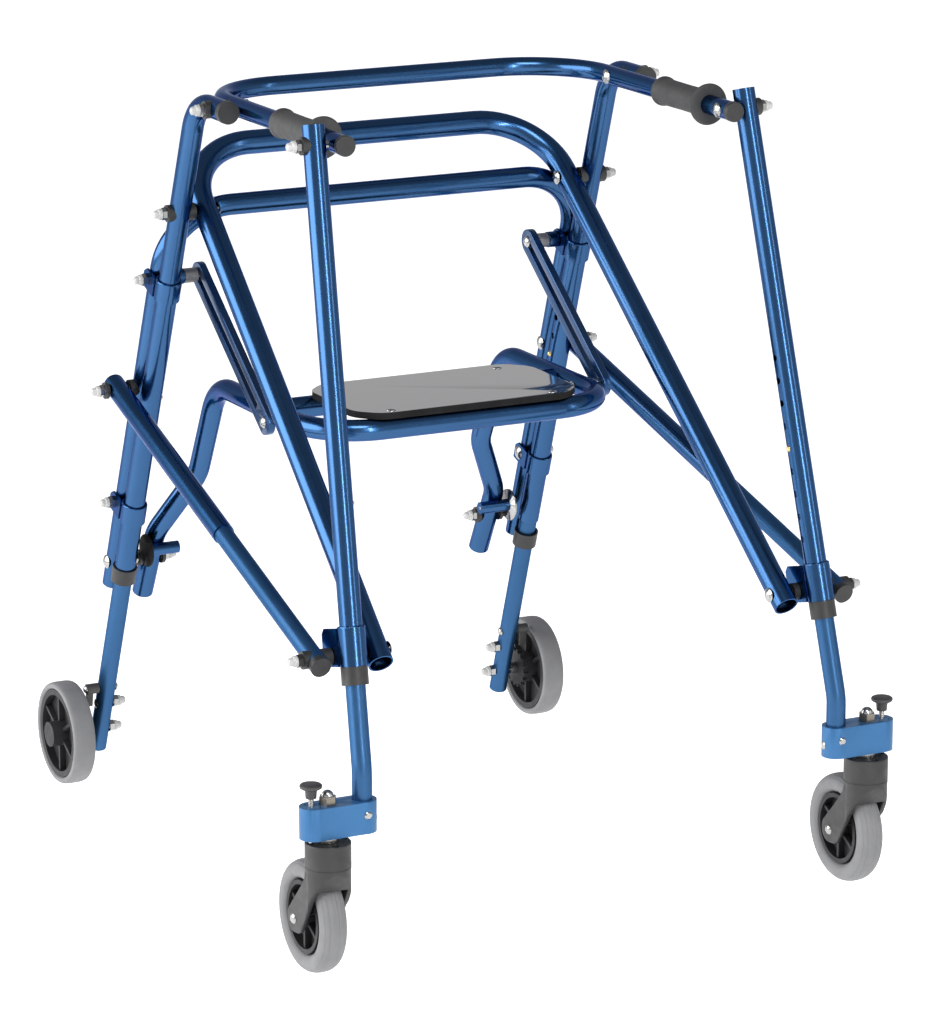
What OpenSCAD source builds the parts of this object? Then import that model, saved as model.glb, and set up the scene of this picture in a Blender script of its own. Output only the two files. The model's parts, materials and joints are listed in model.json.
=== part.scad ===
// Posterior walker: a folding tubular frame that is pulled along behind its user,
// with a flip-up seat, telescoping legs, swivel casters in front and ratchet wheels behind.
// X runs across, -Y is the open front, +Z is up, and the floor is z = 0.

/* [Handlebar] */
// Height of the handlebar above the floor
handle_z = 890; // [860:1:920]
// Distance of each handlebar arm from the middle
handle_x = 242; // [234:1:242]
// Rear crossbar of the handlebar
handle_back_y = 138; // [125:1:160]
// Front ends of the handlebar
handle_front_y = -259; // [-275:1:-257]
// Diameter of the handlebar tube
handle_d = 22.2; // [20:0.1:22.2]
// Rear end of each hand grip
grip_back_y = -100; // [-120:1:-60]
// Front face of each grip's flange
grip_front_y = -208; // [-210:1:-180]
// Diameter of the grip's barrel
grip_d = 31; // [28:0.5:34]
// Diameter of the grip's rear bead
grip_bead_d = 34.5; // [32:0.5:37]
// Diameter of the grip's front flange
grip_flange_d = 48; // [40:0.5:52]

/* [Pivots] */
// Handlebar pivot on the rear legs, ahead of their upper corner
a_ahead = 57.9; // [51:0.1:65]
// Handlebar pivot on the front legs
b_y = -244; // [-250:0.5:-240]
// Inclined frame's pivot on the rear legs
c_y = 125.5; // [115:0.5:135]
// Height of that pivot
c_level = 753; // [740:1:765]
// Inclined frame's pivot on the front legs, behind the leg's middle
d_behind = 24.9; // [20:0.1:31]
// Height of that pivot
d_level = 350; // [345:1:358]
// Height of the brace's pivot on the rear frame
e_level = 524; // [505:1:545]
// Height of the seat's pivot
g_level = 290; // [285:1:300]
// Upper clamp bolt, which the drop links slide on, above the seat tube
h_rise = 139.5; // [125:0.5:155]
// Height of the lower clamp bolt
k_level = 372; // [360:1:390]

/* [Inclined frame] */
// Inclined tube's distance from the middle at its upper pivot
c_x = 237.5; // [236:0.5:239]
// Inclined tube's distance from the middle at its lower pivot
d_x = 255; // [250:0.5:258]
// Diameter of the inclined tube
incline_d = 28.6; // [26:0.1:28.8]
// Run of the inclined tube above its upper pivot
incline_rise = 95.5; // [95:0.5:110]
// Run of the inclined tube below its lower pivot
incline_tail = 18; // [16:1:26]

/* [Rear frame] */
// Rear leg's distance from the middle at the handlebar
leg_top_x = 268; // [267:0.5:272]
// Rear leg's distance from the middle at its foot
leg_foot_x = 279.4; // [277:0.1:281]
// Diameter of the upper leg tubes
leg_d = 25.4; // [25:0.1:26]
// Height of the rear leg's foot
foot_z = 36.5; // [30:0.5:44]
// Front end of the rear leg's top bend, ahead of the leg's upper corner
tip_ahead = 81.4; // [75.5:0.1:91]
// Height where the upper rear leg ends
leg_end_level = 284; // [270:1:300]
// Diameter of the rear crossbar's tube
rear_u_d = 25.4; // [24:0.1:26]
// Height of the rear crossbar
rear_u_level = 751; // [735:1:756]
// Height where the rear crossbar's tube ends
rear_u_end_level = 259; // [250:1:268]

/* [Front legs] */
// Front leg's distance from the middle at the handlebar
front_top_x = 269.4; // [269:0.1:272]
// Front leg's distance from the middle at the caster
knee_x = 299; // [296:0.5:301]
// Height of the knee above the caster
knee_z = 235; // [230:1:245]
// Top of the front leg, above the handlebar
front_above = 21; // [16:1:25]
// End of the upper front leg, below the inclined frame's pivot
front_below = 12; // [12:0.5:15]
// Middle of the front leg's welded bracket, above the inclined frame's pivot
clamp_above = 14.5; // [14.5:0.5:18]
// Length of the front leg's welded bracket
front_clamp_h = 42; // [38:1:46]
// Reach of the front bracket's ears behind the leg
front_ear = 44; // [38:1:50]

/* [Telescopes] */
// Diameter of the lower leg tubes
lower_d = 22.2; // [21.8:0.05:22.25]
// Height of the lower legs' upper ends
inner_top_level = 560; // [545:1:600]
// Height of the snap buttons on the front legs
front_button_level = 513.5; // [480:0.5:530]
// Height of the snap buttons on the rear legs
rear_button_level = 515; // [490:0.5:525]
// Spacing of the height holes along a leg
hole_pitch = 26; // [24:0.5:28]
// Diameter of a height hole
hole_d = 7.6; // [7.2:0.1:9]
// Diameter of a snap button
button_d = 7; // [6:0.1:7]
// Height of a snap button above its tube
button_rise = 2.4; // [1.5:0.1:3]
// Wall of the upper tubes
tube_wall = 1.5; // [1.4:0.05:1.55]
// Wall of the lower tubes
lower_wall = 1.6; // [1.2:0.1:2]

/* [Braces] */
// Brace's distance from the middle at its upper pivot
brace_top_x = 305; // [304:0.5:310]
// Brace's distance from the middle at its lower pivot
brace_foot_x = 328.7; // [327:0.1:331]
// Diameter of the brace's outer tube
brace_d = 25.4; // [25.3:0.1:26]
// Diameter of the brace's inner tube
brace_inner_d = 22.2; // [21.8:0.05:22.25]
// Length of the outer tube below its pivot
brace_outer_l = 349; // [335:1:370]
// Length of the inner tube inside the outer one
brace_overlap = 76; // [70:1:90]
// Distance of the brace's snap button from the outer tube's end
brace_button_back = 51; // [40:1:60]
// How far the inner brace slides in when the walker folds flat
brace_travel = 232.3; // [228:0.1:236]
// Length of the brace past its upper pivot
brace_past = 14; // [12.5:0.5:15]
// Length of the brace past its lower pivot
brace_tip = 11; // [10:0.5:14]

/* [Seat] */
// Seat tube's distance from the middle
seat_x = 191; // [186:0.5:191]
// Height of the seat tube
seat_level = 525; // [515:1:535]
// Front bar of the seat
seat_front_y = -90; // [-100:1:-70]
// Crossbar under the back of the seat plate
seat_cross_y = 50; // [40:1:70]
// Diameter of the seat tube
seat_d = 25.4; // [24:0.1:26]
// Seat tube's distance from the middle at its pivot
seat_foot_x = 231.4; // [228:0.2:232]
// Lower end of the seat tube
seat_foot_level = 240; // [235:1:250]
// Lower end of the seat tube's side step
step_low_level = 325; // [320:1:335]
// Upper end of the seat tube's side step
step_high_level = 402; // [395:1:415]
// Width of the seat plate
plate_w = 290; // [260:1:320]
// Depth of the seat plate
plate_l = 168; // [160:1:180]
// Thickness of the seat plate
plate_t = 8; // [6:0.5:12]
// Clipped corner of the seat plate
plate_clip = 26; // [15:1:40]
// Width of a drop link
link_w = 30; // [26:0.5:31]
// Thickness of a drop link
link_t = 9; // [7:0.5:9]
// Outer face of a drop link
link_x = 223.5; // [222:0.25:224]
// Nearest that a drop link's slot comes to its lower pivot
slot_near = 24; // [20:1:30]

/* [Casters] */
// Diameter of all wheels
wheel_d = 127; // [124:1:127]
// Caster's swivel axis from the middle
stem_x = 340.3; // [338:0.5:343]
// Swivel lock's distance from the middle
lock_x = 360; // [358:0.5:362]
// Top of the caster block
block_top_z = 203; // [200:1:208]
// Height of the caster block
block_h = 36; // [33:1:38]
// Depth of the caster block
block_w = 32; // [30:0.5:36]
// Outer end of the caster block
block_end_x = 373; // [372:0.5:378]
// Diameter of the fork's crown
fork_d = 51; // [50:0.5:54]
// Height of the fork's crown
fork_h = 32; // [28:0.5:33]
// Gap between the caster block and the fork
fork_gap = 6; // [4:0.5:6]
// Distance of the wheel behind the swivel axis
trail = 40.5; // [38:0.5:43]
// Thickness of the fork's blades
blade_t = 6; // [4:0.5:6.5]
// Width of the front tyre
front_tyre_w = 31; // [28:0.5:32]
// Diameter of the front hub
front_hub_d = 82; // [76:1:90]

/* [Rear wheels] */
// Rear axle along the walker
axle_y = 377.5; // [373:0.5:382]
// Rear wheel's distance from the middle
rear_wheel_x = 324; // [323:0.5:330]
// Width of the rear tyre
rear_tyre_w = 28; // [24:0.5:29]
// Diameter of the rear hub
rear_hub_d = 109; // [104:1:114]
// How far the rear hub's cap stands out past the tyre
cap_stand = 9; // [4:0.5:10]
// Height of the pawl's pivot
pawl_z = 121; // [119:0.5:123]
// Diameter of the ratchet ring
ratchet_d = 50; // [46:0.5:51]
// Teeth of the ratchet ring
ratchet_teeth = 16; // [12:1:18]

/* [Fasteners] */
// Diameter of the pivot bolts
pivot_d = 8; // [7:0.1:8]
// Width of a nut across its flats
nut_af = 13; // [12:0.1:14]
// Height of a nut's hexagon
nut_h = 6; // [5:0.5:7]
// Diameter of a nut's dome
dome_d = 10.8; // [9:0.1:11.5]
// Diameter of a bolt's head
head_d = 17; // [15:0.5:18]
// Height of a bolt's head
head_h = 3.6; // [3:0.1:4]
// Diameter of a saddle washer
saddle_d = 20; // [18:0.5:21]
// Thickness of a saddle washer on the crest of its tube
saddle_t = 4; // [3:0.1:4.5]

/* [Hidden] */
$fn = 48;

// Running clearance of a pin in its hole
fit = 0.08;
// Air between faces that pass each other
air = 0.4;
// Room beside a flat face that a leaning, splayed or swinging tube meets
lean_air = 0.2;
splay_air = 0.6;
swing_air = 0.8;
ear_air = 1;
// Overrun of every cut
over = 1;
// Bend radius of the three crossbars
u_bend_r = 100;
rear_u_bend_r = 78;
// Bend radius of the inclined tube, which ends just above its pivot
incline_bend_r = 88;
// Bend radius at the top of the rear leg
leg_bend_r = 50;
// Bend radius of the front leg's knee
knee_r = 60;
// Bend radii of the seat tube: front corners, drop and side step
seat_corner_r = 75;
seat_drop_r = 60;
seat_step_r = 55;
// Wall of the handlebar and of the inclined, rear and seat tubes
frame_wall = 1.8;
// Lap and step where a bend meets a straight run
seam_lap = 0.5;
seam_step = 0.04;
// Plate of the welded brackets
clamp_t = 2.8;
// Height of the rear clamps
clamp_h = 24;
// Reach of the rear clamp's ears past its bolt
clamp_past = 11;
// Clipped corner of a bracket's ear
ear_clip = 6;
// Bite of a weld into the next piece
weld = 0.4;
// Air between the rear leg and the rear crossbar's tube
tube_gap = 0.6;
// Plastic collars at the ends of the upper legs
collar_d = 30;
collar_h = 20;
collar_lap = 6;
collar_slip = 24;
// Plastic end caps: disc and plug
cap_t = 8;
cap_lip = 0.5;
plug_l = 10;
fold_slack = 1;
plug_sink = 1;
// Hole count above and below a snap button
front_holes = 4;
rear_holes_up = 3;
rear_holes_down = 2;
// Handlebar height that the other heights are given for
handle_usual_z = 890;
// Caster stem
stem_d = 10;
stem_depth = 24;
stem_nut_af = 17;
stem_nut_h = 9;
stem_cap_d = 14;
bearing_d = 24;
rivet_d = 6;
rivet_head_d = 9;
rivet_head_h = 1.6;
block_floor = 5;
// Swivel lock and the stops it finds in the fork
lock_stops = 4;
lock_pin_d = 6;
lock_travel = 8;
lock_knob_d = 25;
lock_knob_t = 7;
lock_neck_d = 13;
lock_neck_h = 10;
lock_reach = 9;
// Small blind holes round the lock pin
lock_hole_d = 4;
lock_hole_r = 8;
lock_hole_h = 6;
// Wheels
axle_d = 8;
front_rim_w = 26;
front_rim_t = 5;
front_crown_r = 19;
rear_rim_w = 25;
rear_rim_t = 7;
rear_crown_r = 30;
web_t = 5;
hub_boss_d = 24;
spoke_count = 6;
spoke_t = 4;
rear_cap_d = 31;
rear_cap_out = 4;
wheel_side_gap = 1.6;
wheel_air = 2;
skirt_h = 17;
boss_d = 26;
// Ratchet
tooth_h = 3;
tooth_share = 0.42;
ratchet_w = 6;
ratchet_out = 10.5;
ratchet_neck = 2;
pawl_hub_d = 13;
pawl_t = 2.4;
pawl_w = 9;
pawl_rest = 10;
pawl_clear = 0.6;
pawl_head_d = 11;
pawl_stop_up = 22;
// Drop links
link_past = 11;
slot_air = 0.35;
spacer_d = 14;
link_head_h = 3.4;
// Seat details
plate_back_y = 68;
plate_screw_x = 104;
screw_d = 5;
screw_head_d = 11;
screw_head_h = 1.8;
stop_d = 15;
stop_l = 40;
stop_up = 26;
stop_front = 17;
disc_d = 40;
disc_t = 2.5;

// Derived: heights that follow the handlebar's, each given for a handlebar at its usual height
tall = handle_z / handle_usual_z;
c_z = c_level * tall;
d_z = d_level * tall;
e_z = e_level * tall;
g_z = g_level * tall;
k_z = k_level * tall;
leg_end_z = leg_end_level * tall;
rear_u_z = rear_u_level * tall;
rear_u_end_z = rear_u_end_level * tall;
inner_top_z = inner_top_level * tall;
front_button_z = front_button_level * tall;
rear_button_z = rear_button_level * tall;
seat_z = seat_level * tall;
seat_foot_z = seat_foot_level * tall;
step_low_z = step_low_level * tall;
step_high_z = step_high_level * tall;
h_z = seat_z + h_rise * tall;
front_top_z = handle_z + front_above;
front_end_z = d_z - front_below;
front_clamp_z = d_z + clamp_above;

// Derived: unit vectors, and points along the legs
function unit(v) = v / norm(v);
axle_z = wheel_d / 2;
leg_rake = (axle_y - c_y) / (c_z - axle_z);
leg_splay = (leg_foot_x - leg_top_x) / (handle_z - foot_z);
function leg_at(z) = [leg_top_x + (handle_z - z) * leg_splay, c_y + (c_z - z) * leg_rake, z];
leg_corner_y = leg_at(handle_z).y;
a_y = leg_corner_y - a_ahead;
leg_tip_y = leg_corner_y - tip_ahead;
leg_up = unit(leg_at(handle_z) - leg_at(foot_z));
leg_back = unit([0, leg_up.z, -leg_up.y]);
u_gap = (leg_d + rear_u_d) / 2 + tube_gap;
function leg_foot_of(z) = leg_at(z - u_gap * leg_back.z);
function u_at(z) = leg_foot_of(z) + leg_back * u_gap;
// The caster's swivel axis is set so that the walker's middle is halfway between its ends
stem_y = -(axle_y + wheel_d / 2 - fork_d / 2);
front_rake = (b_y - stem_y) / (handle_z - knee_z);
front_splay = (knee_x - front_top_x) / (handle_z - knee_z);
function front_at(z) = [front_top_x + (handle_z - z) * front_splay, b_y - (handle_z - z) * front_rake, z];
front_up = unit(front_at(handle_z) - front_at(knee_z));
front_back = unit([0, front_up.z, -front_up.y]);
d_y = front_at(d_z).y + d_behind;
e_at = u_at(e_z);
g_at = u_at(g_z);
h_at = u_at(h_z);
k_at = u_at(k_z);
// The drop link's two pivots are equally far from the seat's pivot
h_arm = norm([h_at.y - g_at.y, h_z - g_z]);
j_y = g_at.y - sqrt(h_arm * h_arm - (seat_z - g_z) * (seat_z - g_z));
link_l = norm([h_at.y - j_y, h_z - seat_z]);
link_angle = atan2(h_z - seat_z, h_at.y - j_y);
incline_dir = unit([d_x - c_x, d_y - c_y, d_z - c_z]);
c_at = [c_x, c_y, c_z];
d_at = [d_x, d_y, d_z];
brace_e = [brace_top_x, e_at.y, e_z];
brace_d_at = [brace_foot_x, d_y, d_z];
brace_dir = unit(brace_d_at - brace_e);
brace_l = norm(brace_d_at - brace_e);
brace_under = unit([0, -brace_dir.z, brace_dir.y]);
leg_bore = leg_d - 2 * tube_wall;
fork_top_z = block_top_z - block_h - fork_gap;
fork_low_z = fork_top_z - fork_h;
caster_axle_y = stem_y + trail;
seat_top_z = seat_z + seat_d / 2;
plate_front_y = plate_back_y - plate_l;
screw_seat_z = seat_top_z + plate_t - screw_head_h - fit;
seat_lean_share = 1.4;
seat_lean = (g_at.y - h_at.y) / (h_z - g_z) * seat_lean_share;
function seat_y(z) = g_at.y - (z - g_z) * seat_lean;
lock_low_z = fork_top_z + air;
pawl_at = leg_at(pawl_z);
axle_at = [leg_at(axle_z).x, axle_y, axle_z];
pawl_span = norm([axle_y - pawl_at.y, axle_z - pawl_z]);
pawl_l = sqrt(pow(pawl_span * cos(pawl_rest), 2) - pow(pawl_span, 2) + pow(ratchet_d / 2 + pawl_clear, 2));

// Shared shapes
module sided(side) {
    mirror([side < 0 ? 1 : 0, 0, 0])
        children();
}

module both() {
    for (side = [-1, 1])
        sided(side) children();
}

module along(p, q) {
    v = q - p;
    translate(p)
        rotate([0, acos(v.z / norm(v)), atan2(v.y, v.x)])
            children();
}

module rod(p, q, d) {
    along(p, q)
        cylinder(d = d, h = norm(q - p));
}

module ring(d, wall) {
    difference() {
        circle(d = d);
        circle(d = d - 2 * wall);
    }
}

module tube(p, q, d, wall) {
    along(p, q)
        linear_extrude(norm(q - p))
            ring(d, wall);
}

// A frame with its own axes, at a point
module placed(at, ex, ey, ez) {
    multmatrix([
        [ex.x, ey.x, ez.x, at.x],
        [ex.y, ey.y, ez.y, at.y],
        [ex.z, ey.z, ez.z, at.z],
        [0, 0, 0, 1]
    ])
        children();
}

function turn(a, b, c) = acos(unit(b - a) * unit(c - b));
function tangent(a, b, c, r) = r * tan(turn(a, b, c) / 2);

module elbow(a, b, c, r, d, wall) {
    run = unit(b - a);
    axis = unit(cross(run, unit(c - b)));
    out = -cross(axis, run);
    centre = b - run * tangent(a, b, c, r) - out * r;
    placed(centre, out, run, axis)
        rotate_extrude(angle = turn(a, b, c))
            translate([r, 0])
                ring(d, wall);
}

// A tube along straight runs, with a bend of its own radius at each inner point
module bent_tube(points, radii, d, wall) {
    last = len(points) - 1;
    cuts = [for (i = [0:last])
        i == 0 || i == last ? 0 : tangent(points[i - 1], points[i], points[i + 1], radii[i - 1])];
    for (i = [0:last - 1]) {
        run = unit(points[i + 1] - points[i]);
        start = i == 0 ? 0 : cuts[i] - seam_lap;
        stop = i == last - 1 ? 0 : cuts[i + 1] - seam_lap;
        tube(points[i] + run * start, points[i + 1] - run * stop, d, wall);
    }
    for (i = [1:last - 1])
        elbow(points[i - 1], points[i], points[i + 1], radii[i - 1], d - 2 * seam_step, wall - 2 * seam_step);
}

// Pin across the walker, from x0 to x1
module pin_x(x0, x1, y, z, d) {
    translate([x0, y, z])
        rotate([0, 90, 0])
            cylinder(d = d, h = x1 - x0);
}

// Hole for a pivot bolt across one side of the walker
module bolt_hole(y, z) {
    pin_x(over, block_end_x, y, z, pivot_d + 2 * fit);
}

// Low domed head that points along way (-1 or 1) from x
module head_x(x, y, z, way, d, h) {
    ball = (d * d / 4 + h * h) / (2 * h);
    translate([x, y, z])
        rotate([0, way * 90, 0])
            intersection() {
                translate([0, 0, h - ball])
                    sphere(r = ball);
                cylinder(d = d, h = h);
            }
}

// Domed nut that points along way from x
module acorn_x(x, y, z, way) {
    translate([x, y, z])
        rotate([0, way * 90, 0]) {
            cylinder(d = nut_af / cos(30), h = nut_h, $fn = 6);
            translate([0, 0, nut_h])
                sphere(d = dome_d);
        }
}

// Bolt with a domed head at x0 and an acorn nut at x1
module bolt_set(x0, x1, y, z) {
    way = x1 > x0 ? 1 : -1;
    pin_x(min(x0, x1), max(x0, x1) + weld, y, z, pivot_d);
    head_x(x0, y, z, -way, head_d, head_h);
    acorn_x(x1, y, z, way);
}

// Washer across the walker, hollowed where it hugs the tube from p to q
module saddle_x(x0, x1, y, z, p, q, d) {
    difference() {
        pin_x(x0, x1, y, z, saddle_d);
        bolt_hole(y, z);
        rod(p, q, d + 2 * fit);
    }
}

module washer_x(x0, x1, y, z, d) {
    difference() {
        pin_x(x0, x1, y, z, d);
        bolt_hole(y, z);
    }
}

// Flat plate in the YZ plane of the placed frame, from x for its thickness
module plate_x(x, t) {
    translate([x, 0, 0])
        rotate([90, 0, 90])
            linear_extrude(t)
                children();
}

// Bracket welded round a leg: a sleeve with two ears behind it
module ear_bracket(tube_d, half_gap, reach, h) {
    difference() {
        cylinder(d = tube_d + 2 * clamp_t, h = h, center = true);
        cylinder(d = tube_d - weld, h = h + 2 * over, center = true);
    }
    for (x = [half_gap, -half_gap - clamp_t])
        plate_x(x, clamp_t)
            polygon([
                [tube_d / 4, -h / 2],
                [reach, -h / 2],
                [reach, h / 2 - ear_clip],
                [reach - ear_clip, h / 2],
                [tube_d / 4, h / 2]
            ]);
}

module rear_clamp(z) {
    placed(leg_foot_of(z), cross(leg_back, leg_up), leg_back, leg_up)
        difference() {
            ear_bracket(leg_d, rear_u_d / 2 + air, u_gap + clamp_past, clamp_h);
            translate([0, u_gap, 0])
                cylinder(d = rear_u_d + air, h = clamp_h + 2 * over, center = true);
        }
}

module end_cap(p, q, d, wall) {
    run = unit(q - p);
    rod(q, q + run * cap_t, d + 2 * cap_lip);
    rod(q - run * plug_l, q + run * weld, d - 2 * wall - 2 * fit);
}

// Collar with a step, at the end of an upper leg
module collar(end, up) {
    difference() {
        rod(end - up * (collar_h - collar_lap), end + up * collar_lap, collar_d);
        rod(end - up * fit, end + up * collar_h, leg_d + 2 * fit);
        rod(end - up * collar_h, end + up * collar_h, lower_d + 2 * fit);
    }
}

// Rear frame
leg_tip = [leg_top_x, leg_tip_y, handle_z];
clamp_out = rear_u_d / 2 + air + clamp_t;
nut_out = clamp_out + lean_air;

module rear_leg(side) {
    color("mediumblue")
        sided(side)
            difference() {
                union() {
                    bent_tube([leg_tip, leg_at(handle_z), leg_at(leg_end_z)], [leg_bend_r], leg_d, tube_wall);
                    rear_clamp(h_z);
                    rear_clamp(k_z);
                }
                bolt_hole(a_y, handle_z);
                bolt_hole(c_y, c_z);
                bolt_hole(h_at.y, h_z);
                bolt_hole(k_at.y, k_z);
                for (i = [-rear_holes_down:rear_holes_up])
                    button_hole(leg_at(rear_button_z) + leg_up * i * hole_pitch, leg_d);
            }
}

// Hole on the side of a leg that faces the user
module button_hole(at, d) {
    pin_x(at.x - d, at.x, at.y, at.z, hole_d);
}

module rear_u_tube() {
    top = u_at(rear_u_z);
    end = u_at(rear_u_end_z);
    color("mediumblue")
        difference() {
            bent_tube([[-end.x, end.y, end.z], [-top.x, top.y, top.z], top, end],
                [rear_u_bend_r, rear_u_bend_r], rear_u_d, frame_wall);
            both()
                for (at = [e_at, g_at, h_at, k_at])
                    bolt_hole(at.y, at.z);
        }
}

module frame_bolts() {
    color("silver")
        both() {
            bolt_set(handle_x - handle_d / 2, leg_top_x + leg_d / 2 + saddle_t, a_y, handle_z);
            bolt_set(c_x - incline_d / 2 - splay_air, leg_at(c_z).x + leg_d / 2 + saddle_t, c_y, c_z);
            bolt_set(e_at.x - rear_u_d / 2 - lean_air, brace_top_x + brace_d / 2 + swing_air + saddle_t,
                e_at.y, e_z);
            bolt_set(k_at.x - nut_out, k_at.x + nut_out, k_at.y, k_z);
            bolt_set(g_at.x + rear_u_d / 2 + lean_air, seat_foot_x - seat_d / 2 - air - saddle_t,
                g_at.y, g_z);
            pin_x(seat_foot_x + seat_d / 2 + air + saddle_t, g_at.x - rear_u_d / 2 - lean_air,
                g_at.y, g_z, spacer_d);
            pin_x(link_x - link_t - air, h_at.x + nut_out + weld, h_at.y, h_z, pivot_d);
            head_x(link_x - link_t - air, h_at.y, h_z, -1, spacer_d, link_head_h);
            acorn_x(h_at.x + nut_out, h_at.y, h_z, 1);
            pin_x(link_x + air, h_at.x - nut_out, h_at.y, h_z, spacer_d);
        }
}

// Rear collar, slid down the leg and cut away where the rear crossbar's tube passes it
module relieved_collar(slip) {
    difference() {
        collar(leg_at(leg_end_z) - leg_up * slip, leg_up);
        rod(u_at(rear_u_end_z - collar_h), u_at(h_z), rear_u_d + 2 * air);
    }
}

module frame_plastics() {
    color("dimgray") {
        both() {
            end_cap(leg_at(handle_z), leg_tip, leg_d, tube_wall);
            saddle_x(leg_top_x, leg_top_x + leg_d / 2 + saddle_t, a_y, handle_z,
                leg_at(handle_z), leg_tip, leg_d);
            washer_x(handle_x + handle_d / 2 + air, leg_top_x - leg_d / 2 - fit, a_y, handle_z, saddle_d);
            saddle_x(leg_at(c_z).x, leg_at(c_z).x + leg_d / 2 + saddle_t, c_y, c_z,
                leg_at(handle_z), leg_at(foot_z), leg_d);
            saddle_x(c_x + incline_d / 2 + air, leg_at(c_z).x, c_y, c_z,
                leg_at(handle_z), leg_at(foot_z), leg_d);
            saddle_x(e_at.x, brace_top_x - brace_d / 2 - swing_air, e_at.y, e_z,
                u_at(handle_z), u_at(foot_z), rear_u_d);
            washer_x(brace_top_x + brace_d / 2 + swing_air, brace_top_x + brace_d / 2 + swing_air + saddle_t,
                e_at.y, e_z, saddle_d);
            washer_x(seat_foot_x + seat_d / 2 + air, seat_foot_x + seat_d / 2 + air + saddle_t,
                g_at.y, g_z, saddle_d);
            washer_x(seat_foot_x - seat_d / 2 - air - saddle_t, seat_foot_x - seat_d / 2 - air,
                g_at.y, g_z, saddle_d);
        }
        sided(-1)
            relieved_collar(0);
        relieved_collar(collar_slip);
    }
}

// Handlebar
module handlebar_tube() {
    color("mediumblue")
        difference() {
            bent_tube([
                [-handle_x, handle_front_y, handle_z],
                [-handle_x, handle_back_y, handle_z],
                [handle_x, handle_back_y, handle_z],
                [handle_x, handle_front_y, handle_z]
            ], [u_bend_r, u_bend_r], handle_d, frame_wall);
            both() {
                bolt_hole(a_y, handle_z);
                bolt_hole(b_y, handle_z);
            }
        }
}

grip_flange_t = 5;
grip_bead_l = 6;

module hand_grips() {
    color("dimgray")
        both()
            difference() {
                translate([handle_x, grip_front_y, handle_z])
                    rotate([-90, 0, 0]) {
                        cylinder(d = grip_d, h = grip_back_y - grip_front_y);
                        cylinder(d = grip_flange_d, h = grip_flange_t);
                        translate([0, 0, grip_back_y - grip_front_y - grip_bead_l])
                            cylinder(d = grip_bead_d, h = grip_bead_l);
                    }
                rod([handle_x, handle_front_y, handle_z], [handle_x, a_y, handle_z], handle_d + 2 * fit);
            }
}

module handlebar_caps() {
    color("dimgray")
        both()
            end_cap([handle_x, a_y, handle_z], [handle_x, handle_front_y, handle_z], handle_d, frame_wall);
}

b_split = handle_x + handle_d / 2;

module handlebar_bolts() {
    color("silver")
        both() {
            pin_x(handle_x - handle_d / 2, b_split, b_y, handle_z, pivot_d);
            head_x(handle_x - handle_d / 2, b_y, handle_z, -1, head_d, head_h);
        }
}

// Inclined frame
module inclined_tube() {
    top = c_at - incline_dir * incline_rise;
    low = d_at + incline_dir * incline_tail;
    color("mediumblue")
        difference() {
            bent_tube([[-low.x, low.y, low.z], [-top.x, top.y, top.z], top, low],
                [incline_bend_r, incline_bend_r], incline_d, frame_wall);
            both() {
                bolt_hole(c_y, c_z);
                bolt_hole(d_y, d_z);
            }
        }
}

front_half = leg_d / 2 + weld;
d_leg_x = front_at(front_clamp_z).x;
d_ear_x = d_leg_x + front_half + clamp_t;

module lower_pivot_bolts() {
    color("silver")
        both() {
            pin_x(d_x - incline_d / 2 - splay_air, d_ear_x, d_y, d_z, pivot_d);
            head_x(d_x - incline_d / 2 - splay_air, d_y, d_z, -1, head_d, head_h);
        }
}

// Front legs
module front_leg(side) {
    color("mediumblue")
        sided(side)
            difference() {
                union() {
                    tube(front_at(front_end_z), front_at(front_top_z), leg_d, tube_wall);
                    placed(front_at(front_clamp_z), cross(front_back, front_up), front_back, front_up)
                        ear_bracket(leg_d, front_half, front_ear, front_clamp_h);
                }
                bolt_hole(b_y, handle_z);
                bolt_hole(d_y, d_z);
                for (i = [-front_holes:front_holes])
                    button_hole(front_at(front_button_z) + front_up * i * hole_pitch, leg_d);
            }
}

module front_leg_trim(side) {
    color("dimgray")
        sided(side) {
            collar(front_at(front_end_z), front_up);
            rod(front_at(front_top_z) - front_up * plug_l, front_at(front_top_z) - front_up * plug_sink,
                leg_bore - 2 * fit);
            saddle_x(front_top_x, front_top_x + leg_d / 2 + saddle_t, b_y, handle_z,
                front_at(knee_z), front_at(front_top_z), leg_d);
            washer_x(d_x + incline_d / 2 + air, d_leg_x - front_half - clamp_t - air, d_y, d_z, saddle_d);
        }
}

module front_leg_pivot(side) {
    color("silver")
        sided(side) {
            pin_x(b_split + air, front_top_x + leg_d / 2 + saddle_t + weld, b_y, handle_z, pivot_d);
            acorn_x(front_top_x + leg_d / 2 + saddle_t, b_y, handle_z, 1);
        }
}

module front_lower_leg(side) {
    floor_z = block_top_z - block_h + block_floor;
    color("royalblue")
        sided(side)
            difference() {
                bent_tube([front_at(inner_top_z), front_at(knee_z), [knee_x, stem_y, floor_z]],
                    [knee_r], lower_d, lower_wall);
                button_hole(front_at(front_button_z), leg_d);
                rivet_holes();
            }
}

// Two rivets, across and along, hold the leg in the caster block
rivet_zs = [block_top_z - block_h * 0.42, block_top_z - block_h * 0.62];

module rivet_holes() {
    translate([knee_x, stem_y, rivet_zs[0]])
        rotate([90, 0, 0])
            cylinder(d = rivet_d + 2 * fit, h = 2 * block_w, center = true);
    pin_x(knee_x - block_w, knee_x, stem_y, rivet_zs[1], rivet_d + 2 * fit);
}

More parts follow.
